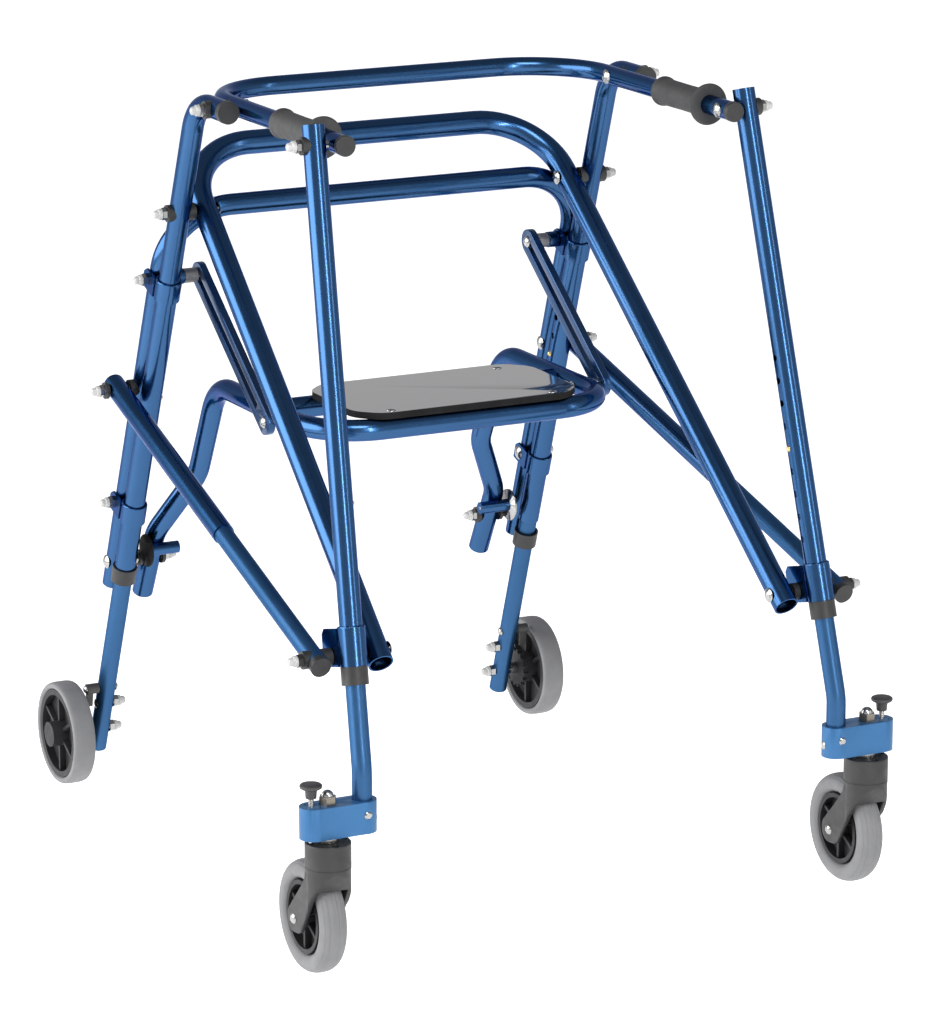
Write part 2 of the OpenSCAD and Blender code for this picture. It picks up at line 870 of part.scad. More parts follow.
module caster_block(side) {
    end = block_end_x - block_w / 2;
    low_z = block_top_z - block_h;
    color("royalblue")
        sided(side)
            difference() {
                translate([0, stem_y, low_z]) {
                    for (x = [knee_x, end])
                        translate([x, 0, 0])
                            cylinder(d = block_w, h = block_h);
                    translate([knee_x, -block_w / 2 + weld, 0])
                        cube([end - knee_x, block_w - 2 * weld, block_h]);
                }
                rod([knee_x, stem_y, low_z + block_floor - fit], [knee_x, stem_y, block_top_z + over],
                    lower_d + 2 * fit);
                rod([stem_x, stem_y, low_z - over], [stem_x, stem_y, block_top_z + over], stem_d + 2 * fit);
                rod([lock_x, stem_y, low_z - over], [lock_x, stem_y, block_top_z + over],
                    lock_pin_d + 2 * fit);
                for (turn = [0, 120, 240])
                    translate([lock_x, stem_y, block_top_z - lock_hole_h])
                        rotate(turn)
                            translate([-lock_hole_r, 0, 0])
                                cylinder(d = lock_hole_d, h = lock_hole_h + over);
                rivet_holes();
            }
}

module caster_stem(side) {
    color("silver")
        sided(side) {
            translate([stem_x, stem_y, 0]) {
                translate([0, 0, fork_top_z - stem_depth])
                    cylinder(d = stem_d, h = stem_depth + fork_gap + block_h + stem_nut_h / 2);
                translate([0, 0, fork_top_z + air])
                    cylinder(d = bearing_d, h = fork_gap - air);
                translate([0, 0, block_top_z]) {
                    cylinder(d = stem_nut_af / cos(30), h = stem_nut_h, $fn = 6);
                    translate([0, 0, stem_nut_h])
                        sphere(d = stem_cap_d);
                }
            }
            translate([knee_x, stem_y, rivet_zs[0]])
                rotate([90, 0, 0]) {
                    cylinder(d = rivet_d, h = block_w, center = true);
                    for (end = [0, 180])
                        rotate([0, end, 0])
                            translate([0, 0, block_w / 2])
                                cylinder(d1 = rivet_head_d, d2 = rivet_d, h = rivet_head_h);
                }
            pin_x(knee_x - block_w / 2, knee_x - rivet_d, stem_y, rivet_zs[1], rivet_d);
            head_x(knee_x - block_w / 2, stem_y, rivet_zs[1], -1, rivet_head_d, rivet_head_h);
        }
}

// Casters
blade_in = front_tyre_w / 2 + wheel_side_gap;
blade_back_share = 0.95;
blade_mid_share = 0.3;
blade_front_share = 0.45;
hood_front_share = 0.8;
hood_mid_share = 0.25;

// Fork below its crown, seen from the side: a hood in front that runs back and down into the arms
module fork_side() {
    half = fork_d / 2;
    polygon([
        [-half, fork_low_z + weld],
        [half, fork_low_z + weld],
        [trail + boss_d / 2 * blade_back_share, axle_z + boss_d / 2 * blade_mid_share],
        [trail - boss_d / 2 * blade_back_share, axle_z - boss_d / 2 * blade_mid_share],
        [trail - boss_d, axle_z + (fork_low_z - axle_z) * blade_front_share],
        [half * hood_mid_share, fork_low_z - skirt_h],
        [-half * hood_front_share, fork_low_z - skirt_h]
    ]);
    translate([trail, axle_z])
        circle(d = boss_d);
}

// Fork seen from above: round in front, straight arms behind
module fork_plan() {
    circle(d = fork_d);
    translate([-blade_in - blade_t, 0])
        square([2 * blade_in + 2 * blade_t, trail + boss_d]);
}

module caster_fork(side) {
    color("dimgray")
        sided(side)
            translate([stem_x, stem_y, 0])
                difference() {
                    union() {
                        translate([0, 0, fork_low_z])
                            cylinder(d = fork_d, h = fork_h);
                        intersection() {
                            plate_x(-fork_d / 2, fork_d)
                                fork_side();
                            linear_extrude(height = fork_top_z)
                                fork_plan();
                        }
                    }
                    translate([0, 0, fork_top_z - stem_depth - air])
                        cylinder(d = stem_d + 2 * fit, h = stem_depth + air + over);
                    for (i = [0:lock_stops - 1])
                        rotate([0, 0, i * 360 / lock_stops])
                            translate([lock_x - stem_x, 0, fork_top_z - lock_travel - air])
                                cylinder(d = lock_pin_d + 2 * air, h = lock_travel + air + over);
                    pin_x(-blade_in, blade_in, trail, axle_z, wheel_d + 2 * wheel_air);
                    pin_x(-fork_d, fork_d, trail, axle_z, axle_d + 2 * fit);
                }
}

module caster_axle(side) {
    reach = blade_in + blade_t;
    color("silver")
        sided(side)
            translate([stem_x, 0, 0]) {
                pin_x(-reach, reach, caster_axle_y, axle_z, axle_d);
                head_x(-reach, caster_axle_y, axle_z, -1, nut_af, head_h);
                head_x(reach, caster_axle_y, axle_z, 1, nut_af, head_h);
            }
}

// Tyre about the X axis: a flat tread band with a crowned section
module tyre(inner_d, w, crown_r) {
    rotate([0, 90, 0])
        rotate_extrude()
            intersection() {
                translate([inner_d / 2, -w / 2])
                    square([wheel_d / 2 - inner_d / 2, w]);
                translate([wheel_d / 2 - crown_r, 0])
                    circle(r = crown_r);
            }
}

// Hub about the X axis: rim, web, spokes and boss
module hub(d, rim_w, rim_t, boss_w) {
    rotate([0, 90, 0])
        difference() {
            union() {
                difference() {
                    cylinder(d = d, h = rim_w, center = true);
                    cylinder(d = d - 2 * rim_t, h = rim_w + 2 * over, center = true);
                }
                cylinder(d = d - rim_t, h = web_t, center = true);
                cylinder(d = hub_boss_d, h = boss_w, center = true);
                for (i = [0:spoke_count - 1])
                    rotate([0, 0, i * 360 / spoke_count])
                        translate([hub_boss_d / 4, -spoke_t / 2, -rim_w / 2 + web_t / 2])
                            cube([(d - rim_t) / 2 - hub_boss_d / 4, spoke_t, rim_w - web_t]);
            }
            cylinder(d = axle_d + 2 * fit, h = 2 * boss_w, center = true);
        }
}

module front_tyre(side) {
    color("silver")
        sided(side)
            translate([stem_x, caster_axle_y, axle_z])
                tyre(front_hub_d + 2 * fit, front_tyre_w, front_crown_r);
}

module front_hub(side) {
    color("black")
        sided(side)
            translate([stem_x, caster_axle_y, axle_z])
                hub(front_hub_d, front_rim_w, front_rim_t, 2 * blade_in - 2 * air);
}

module swivel_lock(side) {
    neck_z = block_top_z + lock_reach;
    color("dimgray")
        sided(side)
            translate([lock_x, stem_y, 0]) {
                translate([0, 0, lock_low_z])
                    cylinder(d = lock_pin_d, h = neck_z + weld - lock_low_z);
                translate([0, 0, neck_z])
                    cylinder(d = lock_neck_d, h = lock_neck_h);
                translate([0, 0, neck_z + lock_neck_h - weld])
                    cylinder(d = lock_knob_d, h = lock_knob_t);
            }
}

// Rear wheels
module rear_lower_leg(side) {
    color("royalblue")
        sided(side)
            difference() {
                tube(leg_at(foot_z), leg_at(inner_top_z), lower_d, lower_wall);
                button_hole(leg_at(rear_button_z), leg_d);
                bolt_hole(axle_y, axle_z);
                bolt_hole(pawl_at.y, pawl_z);
                bolt_hole(stop_at.y, stop_at.z);
            }
}

stop_at = leg_at(pawl_z - pawl_stop_up);
hub_in_x = rear_wheel_x - rear_tyre_w / 2 - ratchet_out;
hub_end_x = rear_wheel_x + rear_tyre_w / 2 + cap_stand;

module rear_axle(side) {
    leg_out = lower_d / 2;
    color("silver")
        sided(side) {
            pin_x(axle_at.x - leg_out, hub_end_x - rear_cap_out, axle_y, axle_z, axle_d);
            acorn_x(axle_at.x - leg_out, axle_y, axle_z, -1);
            pin_x(axle_at.x + leg_out, hub_in_x - air, axle_y, axle_z, spacer_d);
            pin_x(pawl_at.x - leg_out, pawl_end_x + weld, pawl_at.y, pawl_z, pivot_d);
            head_x(pawl_at.x - leg_out, pawl_at.y, pawl_z, -1, pawl_head_d, head_h);
            head_x(pawl_end_x, pawl_at.y, pawl_z, 1, pawl_head_d, head_h);
            pin_x(stop_at.x - leg_out, stop_at.x + leg_out, stop_at.y, stop_at.z, pivot_d);
            acorn_x(stop_at.x - leg_out, stop_at.y, stop_at.z, -1);
            head_x(stop_at.x + leg_out, stop_at.y, stop_at.z, 1, pawl_head_d, head_h / 2);
        }
}

module rear_tyre(side) {
    color("silver")
        sided(side)
            translate([rear_wheel_x, axle_y, axle_z])
                tyre(rear_hub_d + 2 * fit, rear_tyre_w, rear_crown_r);
}

// Ratchet ring: a gap between two teeth faces the pawl
module ratchet_outline() {
    step = 360 / ratchet_teeth;
    root = ratchet_d / 2 - tooth_h;
    circle(r = root);
    for (i = [0:ratchet_teeth - 1])
        rotate(i * step + step / 2)
            translate([root - weld, -root * sin(step) * tooth_share / 2])
                square([tooth_h + weld, root * sin(step) * tooth_share]);
}

module rear_hub(side) {
    gap_angle = atan2(pawl_z - axle_z, pawl_at.y - axle_y);
    color("black")
        sided(side)
            difference() {
                union() {
                    translate([rear_wheel_x, axle_y, axle_z])
                        hub(rear_hub_d, rear_rim_w, rear_rim_t, rear_rim_w);
                    translate([hub_in_x, axle_y, axle_z])
                        rotate([gap_angle, 0, 0])
                            plate_x(0, ratchet_w)
                                ratchet_outline();
                    pin_x(hub_in_x + ratchet_neck, rear_wheel_x, axle_y, axle_z,
                        ratchet_d - 2 * tooth_h - 2 * ratchet_neck);
                    pin_x(rear_wheel_x, hub_end_x, axle_y, axle_z, rear_cap_d);
                }
                pin_x(hub_in_x - over, hub_end_x - rear_cap_out + air, axle_y, axle_z, axle_d + 2 * fit);
            }
}

// Pawl that drops between the ratchet's teeth so that the wheel turns one way
pawl_end_x = rear_wheel_x - rear_tyre_w / 2 - head_h - 3 * air;

module ratchet_pawl(side) {
    start = pawl_at.x + lower_d / 2 + air;
    lean = atan2(axle_y - pawl_at.y, pawl_z - axle_z) - pawl_rest;
    color("dimgray")
        sided(side)
            difference() {
                translate([0, pawl_at.y, pawl_z])
                    rotate([lean, 0, 0]) {
                        pin_x(start, pawl_end_x - air, 0, 0, pawl_hub_d);
                        translate([pawl_end_x - air - pawl_w, -pawl_t / 2, -pawl_l])
                            cube([pawl_w, pawl_t, pawl_l]);
                    }
                pin_x(over, block_end_x, pawl_at.y, pawl_z, pivot_d + 2 * fit);
            }
}

// Braces
brace_outer_end = brace_e + brace_dir * brace_outer_l;
brace_button_at = brace_outer_end - brace_dir * brace_button_back;

module brace_hole(slack = 0) {
    rod(brace_button_at, brace_button_at + brace_under * brace_d, hole_d + 2 * slack);
}

module brace_outer(side) {
    color("mediumblue")
        sided(side)
            difference() {
                tube(brace_e - brace_dir * brace_past, brace_outer_end, brace_d, tube_wall);
                pin_x(e_at.x, block_end_x, e_at.y, e_z, pivot_d + 2 * air);
                brace_hole();
            }
}

module brace_inner(side) {
    color("royalblue")
        sided(side)
            difference() {
                tube(brace_outer_end - brace_dir * brace_overlap, brace_d_at + brace_dir * brace_tip,
                    brace_inner_d, lower_wall);
                bolt_hole(d_y, d_z);
                brace_hole();
                translate(brace_dir * brace_travel)
                    brace_hole(fold_slack);
            }
}

module brace_end(side) {
    tip = brace_d_at + brace_dir * brace_tip;
    out_x = brace_foot_x + brace_inner_d / 2 + saddle_t;
    color("dimgray")
        sided(side) {
            end_cap(brace_outer_end, tip, brace_inner_d, lower_wall);
            saddle_x(d_ear_x + ear_air, brace_foot_x, d_y, d_z, brace_e, tip, brace_inner_d);
            saddle_x(brace_foot_x, out_x, d_y, d_z, brace_e, tip, brace_inner_d);
            pin_x(d_ear_x + ear_air, out_x + weld, d_y, d_z, pivot_d);
            acorn_x(out_x, d_y, d_z, 1);
        }
}

// Seat
module seat_frame() {
    foot = [seat_foot_x, seat_y(seat_foot_z), seat_foot_z];
    low = [seat_foot_x, seat_y(step_low_z), step_low_z];
    high = [seat_x, seat_y(step_high_z), step_high_z];
    back = [seat_x, seat_y(seat_z), seat_z];
    front = [seat_x, seat_front_y, seat_z];
    half = [foot, low, high, back, front];
    far = [for (i = [len(half) - 1:-1:0]) [-half[i].x, half[i].y, half[i].z]];
    radii = [seat_step_r, seat_step_r, seat_drop_r, seat_corner_r];
    color("mediumblue")
        difference() {
            union() {
                bent_tube(concat(half, far), concat(radii, [for (i = [3:-1:0]) radii[i]]),
                    seat_d, frame_wall);
                tube([-seat_x + seat_d / 2 - weld, seat_cross_y, seat_z],
                    [seat_x - seat_d / 2 + weld, seat_cross_y, seat_z], seat_d, frame_wall);
                both()
                    difference() {
                        pin_x(stop_x, stop_x + stop_l, stop_pos.y, stop_pos.z, stop_d);
                        rod(foot, low, seat_d - weld);
                    }
            }
            both() {
                bolt_hole(g_at.y, g_z);
                bolt_hole(j_y, seat_z);
                pin_x(stop_x - over, stop_x + stop_l + over, stop_pos.y, stop_pos.z, screw_d + 2 * fit);
            }
            for (x = [-plate_screw_x, plate_screw_x], y = [seat_front_y, seat_cross_y])
                rod([x, y, seat_z], [x, y, seat_top_z + over], screw_d + 2 * fit);
        }
}

// Stop stub in front of the seat tube, above its pivot
seat_run = unit([0, -seat_lean, 1]);
stop_pos = [0, g_at.y, g_z] + seat_run * stop_up - [0, seat_run.z, -seat_run.y] * stop_front;
stop_x = seat_foot_x - seat_d;

module seat_plate() {
    w = plate_w / 2;
    color("black")
        difference() {
            translate([0, 0, seat_top_z])
                linear_extrude(plate_t)
                    polygon([
                        [w - plate_clip, plate_front_y], [w, plate_front_y + plate_clip],
                        [w, plate_back_y - plate_clip], [w - plate_clip, plate_back_y],
                        [-w + plate_clip, plate_back_y], [-w, plate_back_y - plate_clip],
                        [-w, plate_front_y + plate_clip], [-w + plate_clip, plate_front_y]
                    ]);
            for (x = [-plate_screw_x, plate_screw_x], y = [seat_front_y, seat_cross_y]) {
                rod([x, y, seat_z], [x, y, seat_top_z + plate_t + over], screw_d + 2 * fit);
                rod([x, y, screw_seat_z], [x, y, seat_top_z + plate_t + over], screw_head_d + 2 * fit);
            }
        }
}

module seat_hardware() {
    spacer_x = seat_x + seat_d / 2;
    color("silver") {
        for (x = [-plate_screw_x, plate_screw_x], y = [seat_front_y, seat_cross_y])
            {
                rod([x, y, seat_top_z - frame_wall * 2], [x, y, screw_seat_z + weld], screw_d);
                translate([x, y, screw_seat_z])
                    cylinder(d = screw_head_d, h = screw_head_h);
            }
        both() {
            pin_x(seat_x - seat_d / 2, link_x + air + weld, j_y, seat_z, pivot_d);
            head_x(seat_x - seat_d / 2, j_y, seat_z, -1, spacer_d, link_head_h);
            pin_x(spacer_x, link_x - link_t - air, j_y, seat_z, spacer_d);
            head_x(link_x + air, j_y, seat_z, 1, spacer_d, link_head_h);
            pin_x(stop_x, stop_x + stop_l + disc_t, stop_pos.y, stop_pos.z, screw_d);
            pin_x(stop_x + stop_l, stop_x + stop_l + disc_t, stop_pos.y, stop_pos.z, disc_d);
        }
    }
}

// Slotted link that holds the seat level and lets it flip up
module drop_link(side) {
    color("navy")
        sided(side)
            translate([link_x - link_t, j_y, seat_z])
                rotate([link_angle, 0, 0])
                    plate_x(0, link_t)
                        difference() {
                            union() {
                                translate([0, -link_w / 2 + fit])
                                    square([link_l, link_w - 2 * fit]);
                                circle(d = link_w);
                                translate([link_l, 0])
                                    circle(d = link_w);
                            }
                            circle(d = pivot_d + 2 * fit);
                            translate([slot_near, -pivot_d / 2 - slot_air])
                                square([link_l - slot_near, pivot_d + 2 * slot_air]);
                            translate([link_l, 0])
                                circle(d = pivot_d + 2 * slot_air);
                        }
}

// Snap buttons
module button(at, toward, d, bore) {
    base = at + toward * (bore / 2 + fit);
    rod(base, at + toward * d / 2, button_d);
    intersection() {
        rod(base, at + toward * d, button_d);
        translate(at + toward * (d / 2 + button_rise - button_d / 2))
            sphere(d = button_d);
    }
}

module front_button(side) {
    color("gold")
        sided(side)
            button(front_at(front_button_z), [-1, 0, 0], leg_d, leg_bore);
}

module rear_button(side) {
    color("gold")
        sided(side)
            button(leg_at(rear_button_z), [-1, 0, 0], leg_d, leg_bore);
}

module brace_button(side) {
    color("gold")
        sided(side)
            button(brace_button_at, brace_under, brace_d, brace_d - 2 * tube_wall);
}

rear_leg(-1);  // rear_leg_left
rear_leg(1);  // rear_leg_right
rear_u_tube();
frame_bolts();
frame_plastics();
handlebar_tube();
hand_grips();
handlebar_caps();
handlebar_bolts();
inclined_tube();
lower_pivot_bolts();
front_leg(-1);  // front_leg_left
front_leg(1);  // front_leg_right
front_leg_trim(-1);  // front_leg_trim_left
front_leg_trim(1);  // front_leg_trim_right
front_leg_pivot(-1);  // front_leg_pivot_left
front_leg_pivot(1);  // front_leg_pivot_right
front_lower_leg(-1);  // front_lower_leg_left
front_lower_leg(1);  // front_lower_leg_right
caster_block(-1);  // caster_block_left
caster_block(1);  // caster_block_right
caster_stem(-1);  // caster_stem_left
caster_stem(1);  // caster_stem_right
caster_fork(-1);  // caster_fork_left
caster_fork(1);  // caster_fork_right
caster_axle(-1);  // caster_axle_left
caster_axle(1);  // caster_axle_right
front_tyre(-1);  // front_tyre_left
front_tyre(1);  // front_tyre_right
front_hub(-1);  // front_hub_left
front_hub(1);  // front_hub_right
swivel_lock(-1);  // swivel_lock_left
swivel_lock(1);  // swivel_lock_right
rear_lower_leg(-1);  // rear_lower_leg_left
rear_lower_leg(1);  // rear_lower_leg_right
rear_axle(-1);  // rear_axle_left
rear_axle(1);  // rear_axle_right
rear_tyre(-1);  // rear_tyre_left
rear_tyre(1);  // rear_tyre_right
rear_hub(-1);  // rear_hub_left
rear_hub(1);  // rear_hub_right
ratchet_pawl(-1);  // ratchet_pawl_left
ratchet_pawl(1);  // ratchet_pawl_right
brace_outer(-1);  // brace_outer_left
brace_outer(1);  // brace_outer_right
brace_inner(-1);  // brace_inner_left
brace_inner(1);  // brace_inner_right
brace_end(-1);  // brace_end_left
brace_end(1);  // brace_end_right
seat_frame();
seat_plate();
seat_hardware();
drop_link(-1);  // drop_link_left
drop_link(1);  // drop_link_right
front_button(-1);  // front_button_left
front_button(1);  // front_button_right
rear_button(-1);  // rear_button_left
rear_button(1);  // rear_button_right
brace_button(-1);  // brace_button_left
brace_button(1);  // brace_button_right
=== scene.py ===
# %% [markdown]
# # A posterior walker, dressed over its CAD frame
# The solids come packed from CAD: every tube, bolt and wheel is already in its place and on its
# moving body. This lesson sets the camera and the light, gives each solid a finish, and models the
# pieces whose real shape is softer than a plain solid: forks, tyres, grips, knobs and nut caps.

# %% Load the frame
import bpy
import json
import math
from mathutils import Matrix, Vector


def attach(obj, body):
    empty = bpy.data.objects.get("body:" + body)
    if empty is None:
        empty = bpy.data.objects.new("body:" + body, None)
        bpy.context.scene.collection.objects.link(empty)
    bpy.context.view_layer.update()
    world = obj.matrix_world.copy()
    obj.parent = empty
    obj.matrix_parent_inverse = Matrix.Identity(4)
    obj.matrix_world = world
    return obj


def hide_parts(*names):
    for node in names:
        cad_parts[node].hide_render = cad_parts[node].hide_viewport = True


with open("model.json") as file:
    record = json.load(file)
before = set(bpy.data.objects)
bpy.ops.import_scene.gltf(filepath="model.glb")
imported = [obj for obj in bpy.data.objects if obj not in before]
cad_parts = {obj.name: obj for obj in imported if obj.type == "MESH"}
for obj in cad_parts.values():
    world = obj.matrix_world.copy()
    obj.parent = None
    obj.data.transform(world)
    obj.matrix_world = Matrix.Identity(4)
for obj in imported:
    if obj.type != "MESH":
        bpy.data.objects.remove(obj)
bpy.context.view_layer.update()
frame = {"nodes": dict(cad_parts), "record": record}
scene = bpy.context.scene
nodes = frame["nodes"]

# %% [markdown]
# ## Camera
# The photograph was taken with a long lens from the front, a little to the side and above. The
# angles and the distance were solved from points that appear on both sides of the walker, so the
# camera is placed by numbers and not by eye.

# %% Camera
FOCAL_PIXELS = 4719.0
IMAGE_HEIGHT = 1024.0
SENSOR = 36.0

bpy.ops.object.select_all(action="DESELECT")
bpy.ops.object.camera_add(
    location=(-2.39696, -4.81377, 1.78315),
    rotation=(math.radians(75.502), 0.0, math.radians(-26.914)),
)
camera = bpy.context.active_object
camera.name = "photo_camera"
camera.data.sensor_fit = "VERTICAL"
camera.data.sensor_height = SENSOR
camera.data.lens = FOCAL_PIXELS * SENSOR / IMAGE_HEIGHT
camera.data.clip_end = 200.0
scene.camera = camera
print("lens", round(camera.data.lens, 1), "mm")

# %% [markdown]
# ## Floor and light
# A studio product shot has a white sweep and large soft lights. The floor is one wide pale plane. It
# lies below the wheels, because the casters of the folded walker swing down past the rear wheels.
# The sky is pale near the horizon and darker overhead, so that the tops of the glossy tubes stay
# deep blue. A broad wall of light on the left and three smaller boxes draw the long streaks along
# them.

# %% Floor
FLOOR_Z = -0.6
bpy.ops.mesh.primitive_plane_add(size=120.0, location=(0.0, 0.0, FLOOR_Z))
floor = bpy.context.active_object
floor.name = "floor"
floor_paint = bpy.data.materials.new("pale_floor")
floor_paint.use_nodes = True
floor_shader = floor_paint.node_tree.nodes["Principled BSDF"]
floor_shader.inputs["Base Color"].default_value = (0.93, 0.93, 0.93, 1.0)
floor_shader.inputs["Roughness"].default_value = 0.9
floor_shader.inputs["Specular IOR Level"].default_value = 0.0
floor_shader.inputs["Emission Color"].default_value = (1.0, 1.0, 1.0, 1.0)
floor_shader.inputs["Emission Strength"].default_value = 0.74
floor.data.materials.append(floor_paint)

# %% Sky
world = bpy.data.worlds.new("studio")
scene.world = world
world.use_nodes = True
sky = world.node_tree
sky_in = sky.nodes.new("ShaderNodeTexCoord")
sky_split = sky.nodes.new("ShaderNodeSeparateXYZ")
sky_ramp = sky.nodes.new("ShaderNodeValToRGB")
sky.links.new(sky_in.outputs["Generated"], sky_split.inputs["Vector"])
sky.links.new(sky_split.outputs["Z"], sky_ramp.inputs["Fac"])
sky.links.new(sky_ramp.outputs["Color"], sky.nodes["Background"].inputs["Color"])
stops = sky_ramp.color_ramp.elements
stops[0].position = 0.0
stops[0].color = (0.74, 0.74, 0.75, 1.0)
stops[1].position = 0.75
stops[1].color = (0.30, 0.30, 0.32, 1.0)
middle = stops.new(0.22)
middle.color = (0.72, 0.72, 0.73, 1.0)
sky.nodes["Background"].inputs["Strength"].default_value = 0.9
scene.view_settings.view_transform = "Standard"
print("sky stops", len(stops))


# %% Soft boxes
def soft_box(name, place, aim, width, height, power):
    bpy.ops.object.light_add(type="AREA", location=place)
    lamp = bpy.context.active_object
    lamp.name = name
    lamp.data.shape = "RECTANGLE"
    lamp.data.size = width
    lamp.data.size_y = height
    lamp.data.energy = power
    lamp.rotation_euler = (Vector(aim) - Vector(place)).to_track_quat("-Z", "Y").to_euler()
    return lamp


soft_box("box_top", (-1.2, -3.2, 4.4), (0.0, 0.0, 0.3), 2.4, 1.6, 120.0)
soft_box("box_left", (-3.8, 1.0, 1.7), (0.0, 0.0, 0.5), 4.6, 3.0, 230.0)
soft_box("box_right", (3.4, -4.0, 2.2), (0.0, 0.0, 0.5), 0.5, 3.4, 30.0)
soft_box("box_front", (0.0, -6.5, 2.4), (0.0, 0.0, 0.4), 0.55, 3.8, 150.0)

# %% [markdown]
# ## Shared effects
# Several finishes need the same three effects, so each is a node group that is built once.
# Flake is the fine sparkle and slow drift of tone in metallic paint. Grain is the leathery skin of
# moulded plastic and rubber. Wear is a soft mask of rubbed and dusty places.


# %% Group helpers
def new_group(name, inputs, outputs):
    tree = bpy.data.node_groups.new(name, "ShaderNodeTree")
    for label, value in inputs:
        socket = tree.interface.new_socket(name=label, in_out="INPUT", socket_type="NodeSocketFloat")
        socket.default_value = value
    for label in outputs:
        tree.interface.new_socket(name=label, in_out="OUTPUT", socket_type="NodeSocketFloat")
    return tree, tree.nodes.new("NodeGroupInput"), tree.nodes.new("NodeGroupOutput")


def noise(tree, coords, scale, detail, rough=0.5):
    node = tree.nodes.new("ShaderNodeTexNoise")
    node.inputs["Detail"].default_value = detail
    node.inputs["Roughness"].default_value = rough
    tree.links.new(coords, node.inputs["Vector"])
    if hasattr(scale, "links"):
        tree.links.new(scale, node.inputs["Scale"])
    else:
        node.inputs["Scale"].default_value = scale
    return node.outputs["Fac"]


def spread(tree, value, low, high, out_low, out_high):
    node = tree.nodes.new("ShaderNodeMapRange")
    node.inputs["From Min"].default_value = low
    node.inputs["From Max"].default_value = high
    for label, given in (("To Min", out_low), ("To Max", out_high)):
        if hasattr(given, "links"):
            tree.links.new(given, node.inputs[label])
        else:
            node.inputs[label].default_value = given
    tree.links.new(value, node.inputs["Value"])
    return node.outputs["Result"]


# %% Flake, grain and wear
flake, flake_in, flake_out = new_group(
    "flake", [("Flake Scale", 900.0), ("Low", 0.24), ("High", 0.34)], ["Tone", "Roughness", "Height"])
at = flake.nodes.new("ShaderNodeTexCoord").outputs["Object"]
flake.links.new(spread(flake, noise(flake, at, 5.0, 3.0), 0.3, 0.7, 0.0, 1.0), flake_out.inputs["Tone"])
flake.links.new(
    spread(flake, noise(flake, at, 60.0, 4.0), 0.3, 0.7, flake_in.outputs["Low"], flake_in.outputs["High"]),
    flake_out.inputs["Roughness"])
flake.links.new(noise(flake, at, flake_in.outputs["Flake Scale"], 2.0), flake_out.inputs["Height"])

grain, grain_in, grain_out = new_group(
    "grain", [("Grain Scale", 700.0), ("Low", 0.5), ("High", 0.7)], ["Tone", "Roughness", "Height"])
at = grain.nodes.new("ShaderNodeTexCoord").outputs["Object"]
grain.links.new(spread(grain, noise(grain, at, 30.0, 4.0), 0.3, 0.7, 0.0, 1.0), grain_out.inputs["Tone"])
grain.links.new(
    spread(grain, noise(grain, at, 90.0, 3.0), 0.3, 0.7, grain_in.outputs["Low"], grain_in.outputs["High"]),
    grain_out.inputs["Roughness"])
pebble = grain.nodes.new("ShaderNodeTexVoronoi")
grain.links.new(at, pebble.inputs["Vector"])
grain.links.new(grain_in.outputs["Grain Scale"], pebble.inputs["Scale"])
grain.links.new(pebble.outputs["Distance"], grain_out.inputs["Height"])

wear, wear_in, wear_out = new_group("wear", [("Amount", 0.3)], ["Mask"])
at = wear.nodes.new("ShaderNodeTexCoord").outputs["Object"]
patches = spread(wear, noise(wear, at, 14.0, 8.0, 0.65), 0.52, 0.78, 0.0, wear_in.outputs["Amount"])
wear.links.new(patches, wear_out.inputs["Mask"])
print("groups", [g.name for g in (flake, grain, wear)])

# %% [markdown]
# ## Finishes
# Every finish starts from the Principled shader. A group drives what changes over the surface, the
# colour, roughness and bump. What is the same all over, such as the clear coat, is set on the shader.


# %% Finish builder
def finish(name, dark, light, group, values, bump, worn=None, worn_amount=0.3, **plain):
    made = bpy.data.materials.new(name)
    made.use_nodes = True
    tree = made.node_tree
    shader = tree.nodes["Principled BSDF"]
    effect = tree.nodes.new("ShaderNodeGroup")
    effect.node_tree = group
    for label, value in values.items():
        effect.inputs[label].default_value = value
    tone = tree.nodes.new("ShaderNodeMix")
    tone.data_type = "RGBA"
    tone.inputs["A"].default_value = (*dark, 1.0)
    tone.inputs["B"].default_value = (*light, 1.0)
    tree.links.new(effect.outputs["Tone"], tone.inputs["Factor"])
    colour = tone.outputs["Result"]
    if worn:
        rubbed = tree.nodes.new("ShaderNodeGroup")
        rubbed.node_tree = wear
        rubbed.inputs["Amount"].default_value = worn_amount
        over = tree.nodes.new("ShaderNodeMix")
        over.data_type = "RGBA"
        over.inputs["B"].default_value = (*worn, 1.0)
        tree.links.new(rubbed.outputs["Mask"], over.inputs["Factor"])
        tree.links.new(colour, over.inputs["A"])
        colour = over.outputs["Result"]
    tree.links.new(colour, shader.inputs["Base Color"])
    tree.links.new(effect.outputs["Roughness"], shader.inputs["Roughness"])
    raised = tree.nodes.new("ShaderNodeBump")
    raised.inputs["Strength"].default_value = bump
    raised.inputs["Distance"].default_value = 0.0004
    tree.links.new(effect.outputs["Height"], raised.inputs["Height"])
    tree.links.new(raised.outputs["Normal"], shader.inputs["Normal"])
    for label, value in plain.items():
        shader.inputs[label.replace("_", " ")].default_value = value
    return made


